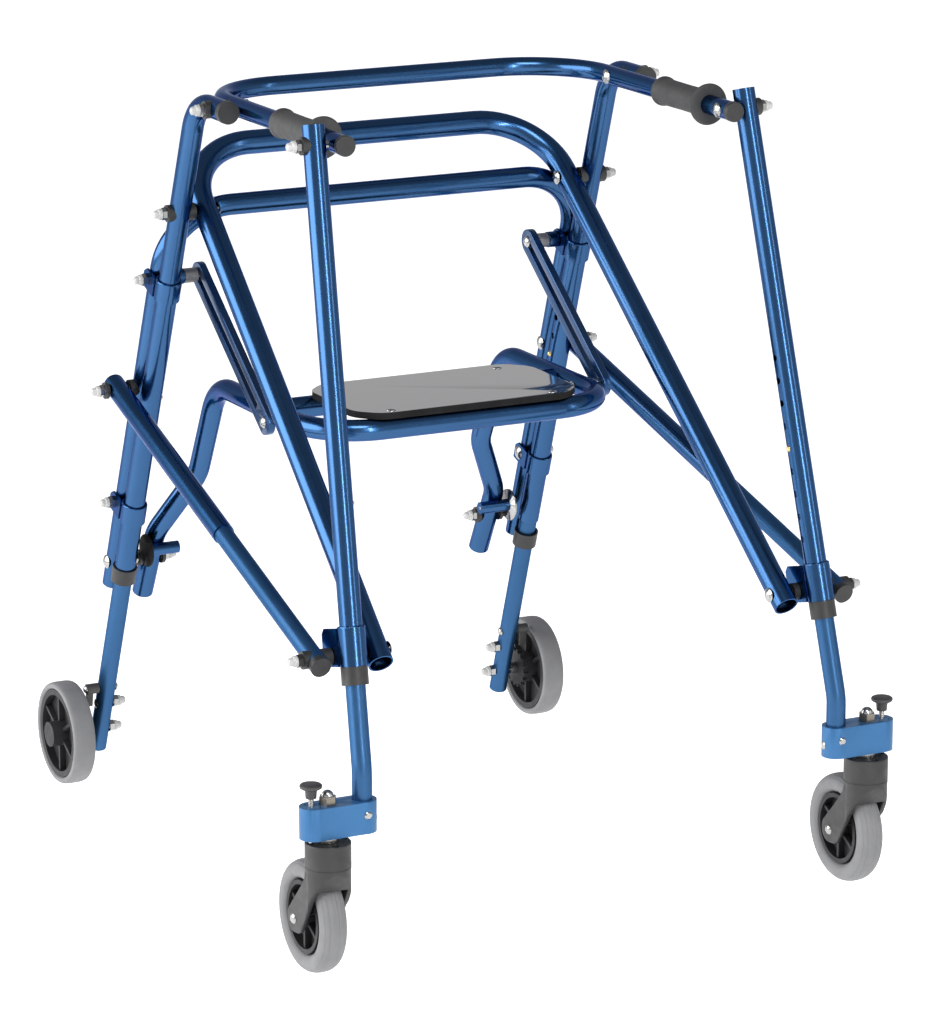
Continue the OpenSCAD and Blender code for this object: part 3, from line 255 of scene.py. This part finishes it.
# %% Paints, metals, plastics and rubbers
finishes = {
    "frame_blue": finish("candy_blue", (0.018, 0.068, 0.168), (0.024, 0.083, 0.200), flake,
        {"Flake Scale": 2200.0, "Low": 0.22, "High": 0.26}, 0.001,
        Metallic=1.0, Coat_Weight=0.3, Coat_Roughness=0.05, Specular_Tint=(0.25, 0.36, 0.60, 1.0)),
    "lower_blue": finish("satin_tube_blue", (0.024, 0.078, 0.175), (0.032, 0.096, 0.215), flake,
        {"Flake Scale": 2200.0, "Low": 0.36, "High": 0.44}, 0.008,
        Metallic=0.9, Coat_Weight=0.1, Coat_Roughness=0.15, Specular_Tint=(0.3, 0.4, 0.6, 1.0)),
    "block_blue": finish("anodised_blue", (0.026, 0.110, 0.25), (0.034, 0.130, 0.29), flake,
        {"Flake Scale": 1500.0, "Low": 0.42, "High": 0.52}, 0.02,
        Metallic=0.6, Coat_Weight=0.05, Coat_Roughness=0.3),
    "link_blue": finish("dark_link_blue", (0.012, 0.042, 0.115), (0.020, 0.066, 0.170), flake,
        {"Flake Scale": 2200.0, "Low": 0.26, "High": 0.34}, 0.006,
        Metallic=0.9, Coat_Weight=0.2, Coat_Roughness=0.08),
    "zinc": finish("bright_zinc", (0.28, 0.28, 0.276), (0.40, 0.40, 0.39), flake,
        {"Flake Scale": 1800.0, "Low": 0.16, "High": 0.26}, 0.01,
        worn=(0.22, 0.215, 0.20), worn_amount=0.3, Metallic=1.0),
    "trim_black": finish("moulded_black", (0.008, 0.008, 0.0083), (0.013, 0.013, 0.0133), grain,
        {"Grain Scale": 1300.0, "Low": 0.42, "High": 0.58}, 0.12, worn=(0.05, 0.05, 0.05), worn_amount=0.15),
    "grip_grey": finish("grip_rubber", (0.019, 0.0193, 0.0197), (0.027, 0.0273, 0.0277), grain,
        {"Grain Scale": 900.0, "Low": 0.55, "High": 0.72}, 0.25, worn=(0.07, 0.07, 0.07), worn_amount=0.18),
    "tyre_grey": finish("grey_tyre", (0.132, 0.134, 0.138), (0.166, 0.168, 0.172), grain,
        {"Grain Scale": 800.0, "Low": 0.55, "High": 0.7}, 0.15, worn=(0.125, 0.124, 0.122), worn_amount=0.3),
    "hub_black": finish("hub_plastic", (0.014, 0.014, 0.015), (0.024, 0.024, 0.026), grain,
        {"Grain Scale": 1200.0, "Low": 0.50, "High": 0.62}, 0.1, Specular_IOR_Level=0.25),
    "fork_black": finish("fork_plastic", (0.011, 0.011, 0.0113), (0.016, 0.016, 0.0163), grain,
        {"Grain Scale": 1100.0, "Low": 0.45, "High": 0.6}, 0.15, worn=(0.06, 0.06, 0.06), worn_amount=0.15),
    "lock_black": finish("knob_plastic", (0.022, 0.0217, 0.0224), (0.031, 0.0306, 0.0314), grain,
        {"Grain Scale": 1200.0, "Low": 0.45, "High": 0.6}, 0.12),
    "seat_black": finish("gloss_seat_black", (0.008, 0.008, 0.009), (0.012, 0.012, 0.013), flake,
        {"Flake Scale": 300.0, "Low": 0.06, "High": 0.11}, 0.01,
        worn=(0.03, 0.03, 0.03), worn_amount=0.12,
        IOR=1.5, Coat_Weight=1.0, Coat_Roughness=0.03, Coat_IOR=1.5),
    "edge_black": finish("sawn_edge_black", (0.006, 0.006, 0.0063), (0.010, 0.010, 0.0104), grain,
        {"Grain Scale": 900.0, "Low": 0.6, "High": 0.75}, 0.1, Specular_IOR_Level=0.12),
    "dull_steel": finish("dull_steel", (0.16, 0.16, 0.165), (0.22, 0.22, 0.225), flake,
        {"Flake Scale": 1500.0, "Low": 0.40, "High": 0.50}, 0.02, Metallic=0.7),
    "brass": finish("button_brass", (0.55, 0.40, 0.16), (0.68, 0.52, 0.24), flake,
        {"Flake Scale": 1800.0, "Low": 0.22, "High": 0.32}, 0.04, Metallic=1.0),
    "bronze": finish("bronzed_steel", (0.16, 0.135, 0.11), (0.24, 0.21, 0.17), flake,
        {"Flake Scale": 1500.0, "Low": 0.28, "High": 0.40}, 0.02, Metallic=1.0),
    "white_cap": finish("white_cap", (0.34, 0.34, 0.33), (0.40, 0.40, 0.39), grain,
        {"Grain Scale": 1500.0, "Low": 0.25, "High": 0.35}, 0.05),
}
print("finishes", len(finishes))

# %% Finishes on the CAD nodes
slot_of = {s["node"]: s["material_slot"] for s in frame["record"]["subparts"]}
for name, solid in nodes.items():
    solid.data.materials.clear()
    solid.data.materials.append(finishes[slot_of[name]])
print("painted", len(nodes))

# %% [markdown]
# ## Working by hand in code
# Each new piece is modelled as at the desk: add a primitive, shape it in edit mode, apply what is
# left. These helpers keep the selection clean, turn a ring into a lathe shape, and set a finished
# piece on its body.


# %% Modelling helpers
body_of_node = {n: b for b, names in frame["record"]["behaviour"]["bodies"].items() for n in names}


def clear():
    if bpy.context.mode != "OBJECT":
        bpy.ops.object.mode_set(mode="OBJECT")
    bpy.ops.object.select_all(action="DESELECT")


def only(piece):
    clear()
    piece.select_set(True)
    bpy.context.view_layer.objects.active = piece


def tidy(piece, angle=35.0):
    only(piece)
    bpy.ops.object.transform_apply(location=True, rotation=True, scale=True)
    bpy.ops.object.mode_set(mode="EDIT")
    bpy.ops.mesh.select_all(action="SELECT")
    bpy.ops.mesh.remove_doubles(threshold=0.00001)
    bpy.ops.mesh.normals_make_consistent(inside=False)
    bpy.ops.object.mode_set(mode="OBJECT")
    bpy.ops.object.shade_smooth_by_angle(angle=math.radians(angle))


def settle(piece, body, slot, stands_for=()):
    piece.data.materials.clear()
    piece.data.materials.append(finishes[slot])
    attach(piece, body)
    if stands_for:
        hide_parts(*stands_for)
    return piece


def apply_modifiers(piece):
    only(piece)
    for modifier in list(piece.modifiers):
        bpy.ops.object.modifier_apply(modifier=modifier.name)


def turned(name, steps, sides=48, ring=False):
    """A lathe shape about Z: rings at (height, radius), extruded one from the last."""
    clear()
    height, radius = steps[0]
    bpy.ops.mesh.primitive_circle_add(
        vertices=sides, radius=radius, location=(0.0, 0.0, height), fill_type="NOTHING" if ring else "NGON")
    piece = bpy.context.active_object
    piece.name = piece.data.name = name
    bpy.ops.object.mode_set(mode="EDIT")
    bpy.ops.mesh.select_mode(type="EDGE")
    bpy.ops.mesh.select_all(action="SELECT")
    for next_height, next_radius in steps[1:]:
        bpy.ops.mesh.extrude_edges_move(TRANSFORM_OT_translate={"value": (0.0, 0.0, next_height - height)})
        grow = next_radius / radius
        bpy.ops.transform.resize(value=(grow, grow, 1.0), center_override=(0.0, 0.0, next_height))
        height, radius = next_height, next_radius
    if not ring:
        bpy.ops.mesh.edge_face_add()
    bpy.ops.object.mode_set(mode="OBJECT")
    return piece


def stand(piece, place, axis):
    """Turn a lathe shape so that its Z runs along axis, and move it to its place."""
    turn = Vector(axis).to_track_quat("Z", "Y").to_matrix().to_4x4()
    piece.matrix_world = Matrix.Translation(Vector(place)) @ turn @ piece.matrix_world
    tidy(piece)
    return piece


def copy_of(node, name):
    clear()
    piece = bpy.data.objects.new(name, nodes[node].data.copy())
    piece.data.name = name
    scene.collection.objects.link(piece)
    only(piece)
    bpy.ops.object.mode_set(mode="EDIT")
    bpy.ops.mesh.select_all(action="SELECT")
    bpy.ops.mesh.remove_doubles(threshold=0.00001)
    bpy.ops.object.mode_set(mode="OBJECT")
    return piece


# %% [markdown]
# ## Where things are
# The walker's legs lean and splay, so the places along them are worked out from the same few
# numbers as the CAD model uses, in metres.

# %% Places along the legs
SIDES = {"left": -1.0, "right": 1.0}
WHEEL_R = 0.0635
AXLE = Vector((0.0, 0.3775, WHEEL_R))
STEM_Y = -0.4155
CASTER_X = 0.3403
LOCK_X = 0.360
TRAIL = 0.0405
CLAMP_HIGH = 0.6645
CLAMP_LOW = 0.372
SEAT_PIVOT = 0.290
LEAN = (AXLE.y - 0.1255) / (0.753 - AXLE.z)


def leg_at(z):
    return Vector((0.268 + (0.890 - z) * 0.0114 / 0.8535, 0.1255 + (0.753 - z) * LEAN, z))


def front_at(z):
    share = (0.890 - z) / 0.655
    return Vector((0.2694 + share * 0.0296, -0.244 + share * (STEM_Y + 0.244), z))


LEG_UP = (leg_at(0.89) - leg_at(0.0365)).normalized()
LEG_BACK = Vector((0.0, LEG_UP.z, -LEG_UP.y)).normalized()
FRONT_UP = (front_at(0.89) - front_at(0.235)).normalized()


def behind_leg(z):
    return leg_at(z - 0.026 * LEG_BACK.z) + LEG_BACK * 0.026


def mirrored(point, sign):
    return Vector((point.x * sign, point.y, point.z))


print("rear tube at the seat pivot", [round(v, 4) for v in behind_leg(SEAT_PIVOT)])

# %% [markdown]
# ## Forks
# A caster fork is one moulding whose round crown flows into a slanting hood with two broad arms. The
# crown is kept from a copy of the CAD fork. The hood is its side outline drawn through, cut to its
# plan, and slotted for the wheel. A remesh joins both into even small cells, which lets a smoothing
# pass round every edge the way a mould does. The holes for the lock pin and the fine groove where
# the crown meets the hood are cut last.

# %% Fork outlines
CROWN_LOW = 0.1296
CROWN_R = 0.0252
ARM_OUT = 0.0235
ARM_END = 0.0158


def arc(radius, degrees, y=0.0, z=0.0):
    return [(y + radius * math.cos(math.radians(a)), z + radius * math.sin(math.radians(a))) for a in degrees]


HOOD = [(-0.0250, 0.1280), (-0.0250, 0.1312), (0.0095, 0.1312), (0.0120, 0.1190), (0.0200, 0.1080)]
HOOD += arc(ARM_END, range(40, -110, -10), TRAIL, WHEEL_R) + [(0.0290, 0.0490), (0.0220, 0.0530)]
PLAN = arc(CROWN_R, range(180, 361, 6))
PLAN += [(ARM_OUT, 0.0040), (ARM_OUT, 0.0700), (-ARM_OUT, 0.0700), (-ARM_OUT, 0.0040)]
print("hood corners", len(HOOD), "plan corners", len(PLAN))


# %% Drawing through and carving
def drawn_through(name, points, start, along):
    """A flat outline, given by its corners, extruded along a vector."""
    clear()
    bpy.ops.mesh.primitive_circle_add(vertices=len(points), radius=0.01, fill_type="NGON")
    piece = bpy.context.active_object
    piece.name = piece.data.name = name
    for corner, (u, v) in zip(piece.data.vertices, points):
        corner.co = (start, u, v) if along[0] else (u, v, start)
    bpy.ops.object.mode_set(mode="EDIT")
    bpy.ops.mesh.select_all(action="SELECT")
    bpy.ops.mesh.extrude_region_move(TRANSFORM_OT_translate={"value": along})
    bpy.ops.mesh.select_all(action="SELECT")
    bpy.ops.mesh.normals_make_consistent(inside=False)
    bpy.ops.object.mode_set(mode="OBJECT")
    return piece


def carve(piece, tool, operation):
    cut = piece.modifiers.new("cut", "BOOLEAN")
    cut.operation = operation
    cut.solver = "EXACT"
    cut.object = tool
    apply_modifiers(piece)
    bpy.data.objects.remove(tool)


# %% Hood with its wheel slot
SLOT_R = 0.0668
SLOT_WIDTH = 0.0364


def slotted_hood(stem):
    hood = drawn_through("hood", HOOD, -0.03, (0.06, 0.0, 0.0))
    carve(hood, drawn_through("plan", PLAN, 0.03, (0.0, 0.0, 0.12)), "INTERSECT")
    clear()
    bpy.ops.mesh.primitive_cylinder_add(
        vertices=96, radius=SLOT_R, depth=SLOT_WIDTH,
        location=(0.0, TRAIL, WHEEL_R), rotation=(0.0, math.radians(90.0), 0.0))
    carve(hood, bpy.context.active_object, "DIFFERENCE")
    hood.location = stem
    return hood


# %% Crown and moulded skin
def crown_of(node, name):
    crown = copy_of(node, name)
    top = max(v.co.z for v in crown.data.vertices)
    bpy.ops.object.mode_set(mode="EDIT")
    bpy.ops.mesh.select_all(action="SELECT")
    bpy.ops.mesh.bisect(
        plane_co=(0.0, 0.0, CROWN_LOW), plane_no=(0.0, 0.0, 1.0), use_fill=True, clear_inner=True)
    bpy.ops.object.mode_set(mode="OBJECT")
    return crown, top


def moulded(piece):
    cells = piece.modifiers.new("cells", "REMESH")
    cells.mode = "VOXEL"
    cells.voxel_size = 0.0009
    soften = piece.modifiers.new("soften", "SMOOTH")
    soften.factor = 0.5
    soften.iterations = 8
    thin = piece.modifiers.new("thin", "DECIMATE")
    thin.ratio = 0.4
    apply_modifiers(piece)


# %% Lock holes and groove
LOCK_HOLE_R = 0.0039
LOCK_HOLE_DEEP = 0.0100
GROOVE_Z = 0.1332


def drill_lock_holes(fork, stem, top):
    for turn in range(4):
        reach = Matrix.Rotation(math.radians(90.0 * turn), 3, "Z") @ Vector((LOCK_X - CASTER_X, 0.0, 0.0))
        clear()
        bpy.ops.mesh.primitive_cylinder_add(
            vertices=24, radius=LOCK_HOLE_R, depth=2.0 * LOCK_HOLE_DEEP,
            location=stem + reach + Vector((0.0, 0.0, top)))
        carve(fork, bpy.context.active_object, "DIFFERENCE")


def cut_groove(fork, stem):
    clear()
    bpy.ops.mesh.primitive_torus_add(
        location=stem + Vector((0.0, 0.0, GROOVE_Z)), major_segments=96, minor_segments=8,
        major_radius=0.0256, minor_radius=0.0006)
    carve(fork, bpy.context.active_object, "DIFFERENCE")


# %% Moulded forks
for side, sign in SIDES.items():
    node = f"caster_fork_{side}"
    stem = Vector((CASTER_X * sign, STEM_Y, 0.0))
    hood = slotted_hood(stem)
    fork, crown_top = crown_of(node, f"moulded_fork_{side}")
    only(fork)
    hood.select_set(True)
    bpy.ops.object.join()
    moulded(fork)
    drill_lock_holes(fork, stem, crown_top)
    cut_groove(fork, stem)
    only(fork)
    bpy.ops.object.shade_smooth_by_angle(angle=math.radians(50.0))
    settle(fork, f"caster_{side}", "fork_black", [node])
    print(fork.name, len(fork.data.polygons), "crown top", round(crown_top, 4))

# %% [markdown]
# ## Tyres
# The front tyres are full and round with fine ribs running round the tread. The rear ones are
# flatter bands. Each is a section, a ring of points squeezed to the tyre's height, that is spun
# once about the axle.


# %% Spun tyres
def spun_tyre(name, centre, width, height, flat, ribs):
    clear()
    middle = centre.z + WHEEL_R - height / 2
    bpy.ops.mesh.primitive_circle_add(
        vertices=72, radius=width / 2, location=(centre.x, centre.y, middle),
        rotation=(math.radians(90.0), 0.0, 0.0))
    tyre = bpy.context.active_object
    tyre.name = tyre.data.name = name
    bpy.ops.object.transform_apply(location=True, rotation=True, scale=True)
    for i, point in enumerate(tyre.data.vertices):
        across = (point.co.x - centre.x) / (width / 2)
        up = (point.co.z - middle) / (width / 2)
        point.co.z = middle + math.copysign(abs(up) ** flat, up) * height / 2
        point.co.x = centre.x + math.copysign(abs(across) ** flat, across) * width / 2
        if ribs and up > 0.35 and i % 5 < 1:
            point.co.z -= ribs
    only(tyre)
    bpy.ops.object.mode_set(mode="EDIT")
    bpy.ops.mesh.select_all(action="SELECT")
    bpy.ops.mesh.spin(steps=120, angle=math.tau, center=centre, axis=(1.0, 0.0, 0.0))
    tidy(tyre, 40.0)
    return tyre


REAR_WHEEL_X = 0.324
for side, sign in SIDES.items():
    wheel = Vector((CASTER_X * sign, STEM_Y + TRAIL, WHEEL_R))
    tyre = spun_tyre(f"ribbed_tyre_{side}", wheel, 0.0310, 0.0226, 0.85, 0.0006)
    settle(tyre, f"front_wheel_{side}", "tyre_grey", [f"front_tyre_{side}"])
    wheel = Vector((REAR_WHEEL_X * sign, AXLE.y, AXLE.z))
    tyre = spun_tyre(f"band_tyre_{side}", wheel, 0.0280, 0.0094, 0.62, 0.00015)
    settle(tyre, f"rear_wheel_{side}", "tyre_grey", [f"rear_tyre_{side}"])
print("tyres", len(tyre.data.polygons), "faces each")

# %% [markdown]
# ## Grips
# Each hand grip is a rubber sleeve with a small bead behind and a broad round flange in front that
# keeps the hand off the pivot bolt. It is a lathe shape that comes back to its own first ring, so
# the sleeve has a real bore for the tube.

# %% Hand grips
GRIP = [
    (0.0000, 0.01125), (0.0000, 0.0205), (0.0006, 0.0228), (0.0020, 0.0240), (0.0038, 0.0236),
    (0.0050, 0.0222), (0.0056, 0.0200), (0.0062, 0.0172), (0.0080, 0.0160), (0.0120, 0.0155),
    (0.0560, 0.0152), (0.0970, 0.0155), (0.1002, 0.0158), (0.1016, 0.0168), (0.1035, 0.01725),
    (0.1058, 0.01725), (0.1073, 0.0166), (0.1080, 0.0150), (0.1080, 0.01125), (0.0000, 0.01125)]
GRIP_X = 0.242
GRIP_FRONT_Y = -0.208
HANDLE_Z = 0.890
for side, sign in SIDES.items():
    grip = turned(f"sleeve_grip_{side}", GRIP, 64, ring=True)
    stand(grip, (GRIP_X * sign, GRIP_FRONT_Y, HANDLE_Z), (0.0, 1.0, 0.0))
    settle(grip, "handlebar", "grip_grey", ["hand_grips"] if side == "right" else [])
print("grip", len(grip.data.polygons), "faces")

# %% [markdown]
# ## Swivel locks
# A black mushroom knob is pressed on a bright steel pin. Pushing it down drops the pin into the
# fork, so the caster runs straight. Knob and pin are two lathe shapes with two finishes.

# %% Lock knobs and pins
KNOB = [
    (0.2120, 0.0052), (0.2124, 0.0060), (0.2200, 0.0066), (0.2215, 0.0072), (0.2228, 0.0100),
    (0.2240, 0.0120), (0.2258, 0.0125), (0.2272, 0.0122), (0.2282, 0.0110), (0.2289, 0.0080),
    (0.2291, 0.0030)]
PIN = [(0.1614, 0.0022), (0.1620, 0.0030), (0.2115, 0.0030), (0.2125, 0.0026)]
for side, sign in SIDES.items():
    knob = stand(turned(f"lock_knob_{side}", KNOB), (LOCK_X * sign, STEM_Y, 0.0), (0.0, 0.0, 1.0))
    settle(knob, f"swivel_lock_{side}", "lock_black", [f"swivel_lock_{side}"])
    pin = stand(turned(f"lock_pin_{side}", PIN, 24), (LOCK_X * sign, STEM_Y, 0.0), (0.0, 0.0, 1.0))
    settle(pin, f"swivel_lock_{side}", "zinc")
print("knob", len(knob.data.polygons), "faces")

# %% [markdown]
# ## Nut caps
# Every pivot ends in a domed nut whose tip is a pale cap. One cap is turned, and copies of its
# mesh are set on each nut, riding with whatever the nut is on.

# %% Pale caps on the nuts
CAP = [
    (0.0002, 0.0062), (0.0006, 0.0066), (0.0034, 0.0065), (0.0046, 0.0060), (0.0052, 0.0050),
    (0.0086, 0.0047), (0.0098, 0.0040), (0.0106, 0.0026), (0.0108, 0.0010)]
NUT = 0.006
SADDLE = 0.004
TUBE = 0.0127
LOWER_TUBE = 0.0111
EAR = TUBE + 0.0004 + 0.0028 + 0.0002
INCLINE_Y, INCLINE_Z = 0.1255, 0.753
BRACE_Z = 0.524
FOOT_Y, FOOT_Z = -0.3605, 0.350
PAWL_STOP_Z = 0.099


def nut_places(side):
    """Label, place on the right side, way the nut points, and the body that it rides on."""
    lower = f"rear_lower_{side}"
    low, high, seat = behind_leg(CLAMP_LOW), behind_leg(CLAMP_HIGH), behind_leg(SEAT_PIVOT)
    stop = leg_at(PAWL_STOP_Z)
    return [
        ("handle", (0.268 + TUBE + SADDLE, 0.0175, HANDLE_Z), 1, "rear_frame"),
        ("incline", (leg_at(INCLINE_Z).x + TUBE + SADDLE, INCLINE_Y, INCLINE_Z), 1, "rear_frame"),
        ("brace", (0.305 + TUBE + 0.0008 + SADDLE, behind_leg(BRACE_Z).y, BRACE_Z), 1, "rear_frame"),
        ("clamp_low", (low.x + EAR, low.y, CLAMP_LOW), 1, "rear_frame"),
        ("clamp_high", (high.x + EAR, high.y, CLAMP_HIGH), 1, "rear_frame"),
        ("seat", (0.2314 - TUBE - 0.0004 - SADDLE, seat.y, SEAT_PIVOT), -1, "rear_frame"),
        ("front", (0.2694 + TUBE + SADDLE, -0.244, HANDLE_Z), 1, f"front_leg_{side}"),
        ("foot", (0.3287 + LOWER_TUBE + SADDLE, FOOT_Y, FOOT_Z), 1, f"brace_inner_{side}"),
        ("axle", (leg_at(AXLE.z).x - LOWER_TUBE, AXLE.y, AXLE.z), -1, lower),
        ("stop", (stop.x - LOWER_TUBE, stop.y, PAWL_STOP_Z), -1, lower),
    ]


first_cap = turned("nut_cap", CAP, 24)
for side, sign in SIDES.items():
    for label, place, way, body in nut_places(side):
        clear()
        cap = bpy.data.objects.new(f"nut_cap_{label}_{side}", first_cap.data.copy())
        scene.collection.objects.link(cap)
        cap.matrix_world = first_cap.matrix_world.copy()
        stand(cap, (sign * (place[0] + way * NUT), place[1], place[2]), (sign * way, 0.0, 0.0))
        settle(cap, body, "white_cap")
bpy.data.objects.remove(first_cap)
print("caps on", len(nut_places("left")), "nuts a side")

# %% [markdown]
# ## Softened edges
# Moulded blocks, caps and the flat links have edges that catch a thin line of light. A copy of each
# solid is merged, its flat faces are joined, and a bevel rounds the corners.


# %% Rounded copies of hard-edged solids
def softened(node, width, sharp=45.0, segments=2):
    piece = copy_of(node, f"soft_{node}")
    bpy.ops.object.mode_set(mode="EDIT")
    bpy.ops.mesh.select_all(action="SELECT")
    bpy.ops.mesh.dissolve_limited(angle_limit=math.radians(0.5))
    bpy.ops.object.mode_set(mode="OBJECT")
    bevel = piece.modifiers.new("edge", "BEVEL")
    bevel.width = width
    bevel.segments = segments
    bevel.limit_method = "ANGLE"
    bevel.angle_limit = math.radians(sharp)
    bevel.use_clamp_overlap = True
    apply_modifiers(piece)
    only(piece)
    bpy.ops.object.shade_smooth_by_angle(angle=math.radians(28.0))
    settle(piece, body_of_node[node], slot_of[node], [node])
    return piece


ROUNDED = {
    "handlebar_caps": 0.0012, "caster_block_left": 0.0010, "caster_block_right": 0.0010,
    "drop_link_left": 0.0008, "drop_link_right": 0.0008}
for node, width in ROUNDED.items():
    made = softened(node, width)
    print(made.name, len(made.data.polygons))

# %% [markdown]
# ## Seat board
# The seat is a flat gloss board. Its eight upright corner edges are well rounded, and its rims only
# just broken, so the top stays a clean mirror. The sawn sides are dull black, and four low screw
# heads hold it down.

# %% Seat board
board = copy_of("seat_plate", "seat_board")
bpy.ops.object.mode_set(mode="EDIT")
bpy.ops.mesh.select_all(action="SELECT")
bpy.ops.mesh.dissolve_limited(angle_limit=math.radians(0.5))
bpy.ops.mesh.select_all(action="DESELECT")
bpy.ops.mesh.select_mode(type="EDGE")
bpy.ops.object.mode_set(mode="OBJECT")
edge_x = max(abs(v.co.x) for v in board.data.vertices)
back_y = max(v.co.y for v in board.data.vertices)
front_y = min(v.co.y for v in board.data.vertices)
for edge in board.data.edges:
    a, b = (board.data.vertices[i].co for i in edge.vertices)
    on_rim = abs(abs(a.x) - edge_x) < 0.0001 or abs(a.y - back_y) < 0.0001 or abs(a.y - front_y) < 0.0001
    edge.select = on_rim and (a.xy - b.xy).length < 0.0001
corners = sum(edge.select for edge in board.data.edges)
bpy.ops.object.mode_set(mode="EDIT")
bpy.ops.mesh.bevel(offset=0.012, segments=8, affect="EDGES")
bpy.ops.object.mode_set(mode="OBJECT")
rim = board.modifiers.new("rim", "BEVEL")
rim.width = 0.0006
rim.segments = 2
rim.limit_method = "ANGLE"
rim.angle_limit = math.radians(60.0)
apply_modifiers(board)
only(board)
bpy.ops.object.shade_smooth_by_angle(angle=math.radians(25.0))
settle(board, "seat", "seat_black", ["seat_plate"])
board.data.materials.append(finishes["edge_black"])
for face in board.data.polygons:
    face.material_index = 1 if abs(face.normal.z) < 0.5 else 0
print("seat board corners", corners, "faces", len(board.data.polygons))

# %% Seat screws
SCREW = [(0.0000, 0.0056), (0.0007, 0.0054), (0.0015, 0.0040), (0.0019, 0.0016)]
SCREW_X, SCREW_FRONT, SCREW_BACK, BOARD_TOP = 0.104, -0.090, 0.050, 0.5456
SCREW_PLACES = {
    "front_left": (-SCREW_X, SCREW_FRONT), "front_right": (SCREW_X, SCREW_FRONT),
    "back_left": (-SCREW_X, SCREW_BACK), "back_right": (SCREW_X, SCREW_BACK)}
first_screw = turned("screw_head", SCREW, 24)
for label, (x, y) in SCREW_PLACES.items():
    clear()
    screw = bpy.data.objects.new(f"seat_screw_{label}", first_screw.data.copy())
    scene.collection.objects.link(screw)
    screw.matrix_world = first_screw.matrix_world.copy()
    settle(stand(screw, (x, y, BOARD_TOP), (0.0, 0.0, 1.0)), "seat", "zinc")
bpy.data.objects.remove(first_screw)
print("seat screw", len(screw.data.polygons), "faces")

# %% [markdown]
# ## Seat fittings
# The pins of the drop links carry a dull sleeve, and the clamp on the leg has a short round boss
# for it. Of the two washers beside the seat's feet the right one is bright and the left one black.

# %% Link sleeves, bosses and washers
SLEEVE = [(0.0000, 0.0082), (0.0006, 0.0088), (0.0168, 0.0088), (0.0174, 0.0082)]
BOSS = [(0.0174, 0.0090), (0.0180, 0.0096), (0.0300, 0.0096), (0.0306, 0.0090)]
LINK_SIDE_X = 0.2242
for side, sign in SIDES.items():
    place = (LINK_SIDE_X * sign, behind_leg(CLAMP_HIGH).y, CLAMP_HIGH)
    for label, steps, slot in (("link_sleeve", SLEEVE, "dull_steel"), ("clamp_boss", BOSS, "frame_blue")):
        settle(stand(turned(f"{label}_{side}", steps, 40), place, (sign, 0.0, 0.0)), "rear_frame", slot)
washers = copy_of("seat_hardware", "seat_fittings")
bpy.ops.object.shade_smooth_by_angle(angle=math.radians(30.0))
settle(washers, "seat", "zinc", ["seat_hardware"])
washers.data.materials.append(finishes["edge_black"])
for face in washers.data.polygons:
    face.material_index = 1 if face.center.x < 0.0 and face.center.z < SEAT_PIVOT + 0.11 else 0
print("black washer faces", sum(face.material_index for face in washers.data.polygons))

# %% [markdown]
# ## Stem nuts
# The caster's stem ends in a bronzed hexagon nut, and the bright dome of the stem stands out of it.
# The nut is a six-sided lathe shape with a broken upper rim.

# %% Bronzed stem nuts
STEM_NUT = [(0.20305, 0.0095), (0.2034, 0.0101), (0.2112, 0.0101), (0.2122, 0.0092), (0.2123, 0.0066)]
for side, sign in SIDES.items():
    nut = turned(f"stem_nut_{side}", STEM_NUT, 6)
    nut.matrix_world = Matrix.Rotation(math.radians(90.0), 4, "Z") @ nut.matrix_world
    stand(nut, (CASTER_X * sign, STEM_Y, 0.0), (0.0, 0.0, 1.0))
    settle(nut, body_of_node[f"caster_stem_{side}"], "bronze")
print("stem nut", len(nut.data.polygons), "faces")

# %% [markdown]
# ## Welds
# The leg brackets are welded on. A weld is a lumpy bead, so a thin torus is laid round the leg at
# the end of each sleeve and roughened by a displacement.

# %% Weld beads
lumps = bpy.data.textures.new("weld_lumps", "CLOUDS")
lumps.noise_scale = 0.004


def weld_bead(name, place, axis, body):
    clear()
    bpy.ops.mesh.primitive_torus_add(
        major_segments=64, minor_segments=10, major_radius=0.0138, minor_radius=0.0017)
    bead = bpy.context.active_object
    bead.name = bead.data.name = name
    rough = bead.modifiers.new("lumps", "DISPLACE")
    rough.texture = lumps
    rough.strength = 0.0012
    apply_modifiers(bead)
    stand(bead, place, axis)
    return settle(bead, body, "frame_blue")


for side, sign in SIDES.items():
    for label, z in (("high", CLAMP_HIGH), ("low", CLAMP_LOW)):
        middle = leg_at(z - 0.026 * LEG_BACK.z) + LEG_UP * 0.0120
        weld_bead(f"weld_{label}_{side}", mirrored(middle, sign), mirrored(LEG_UP, sign), "rear_frame")
    middle = front_at(0.3645) + FRONT_UP * 0.0210
    weld_bead(f"weld_front_{side}", mirrored(middle, sign), mirrored(FRONT_UP, sign), f"front_leg_{side}")
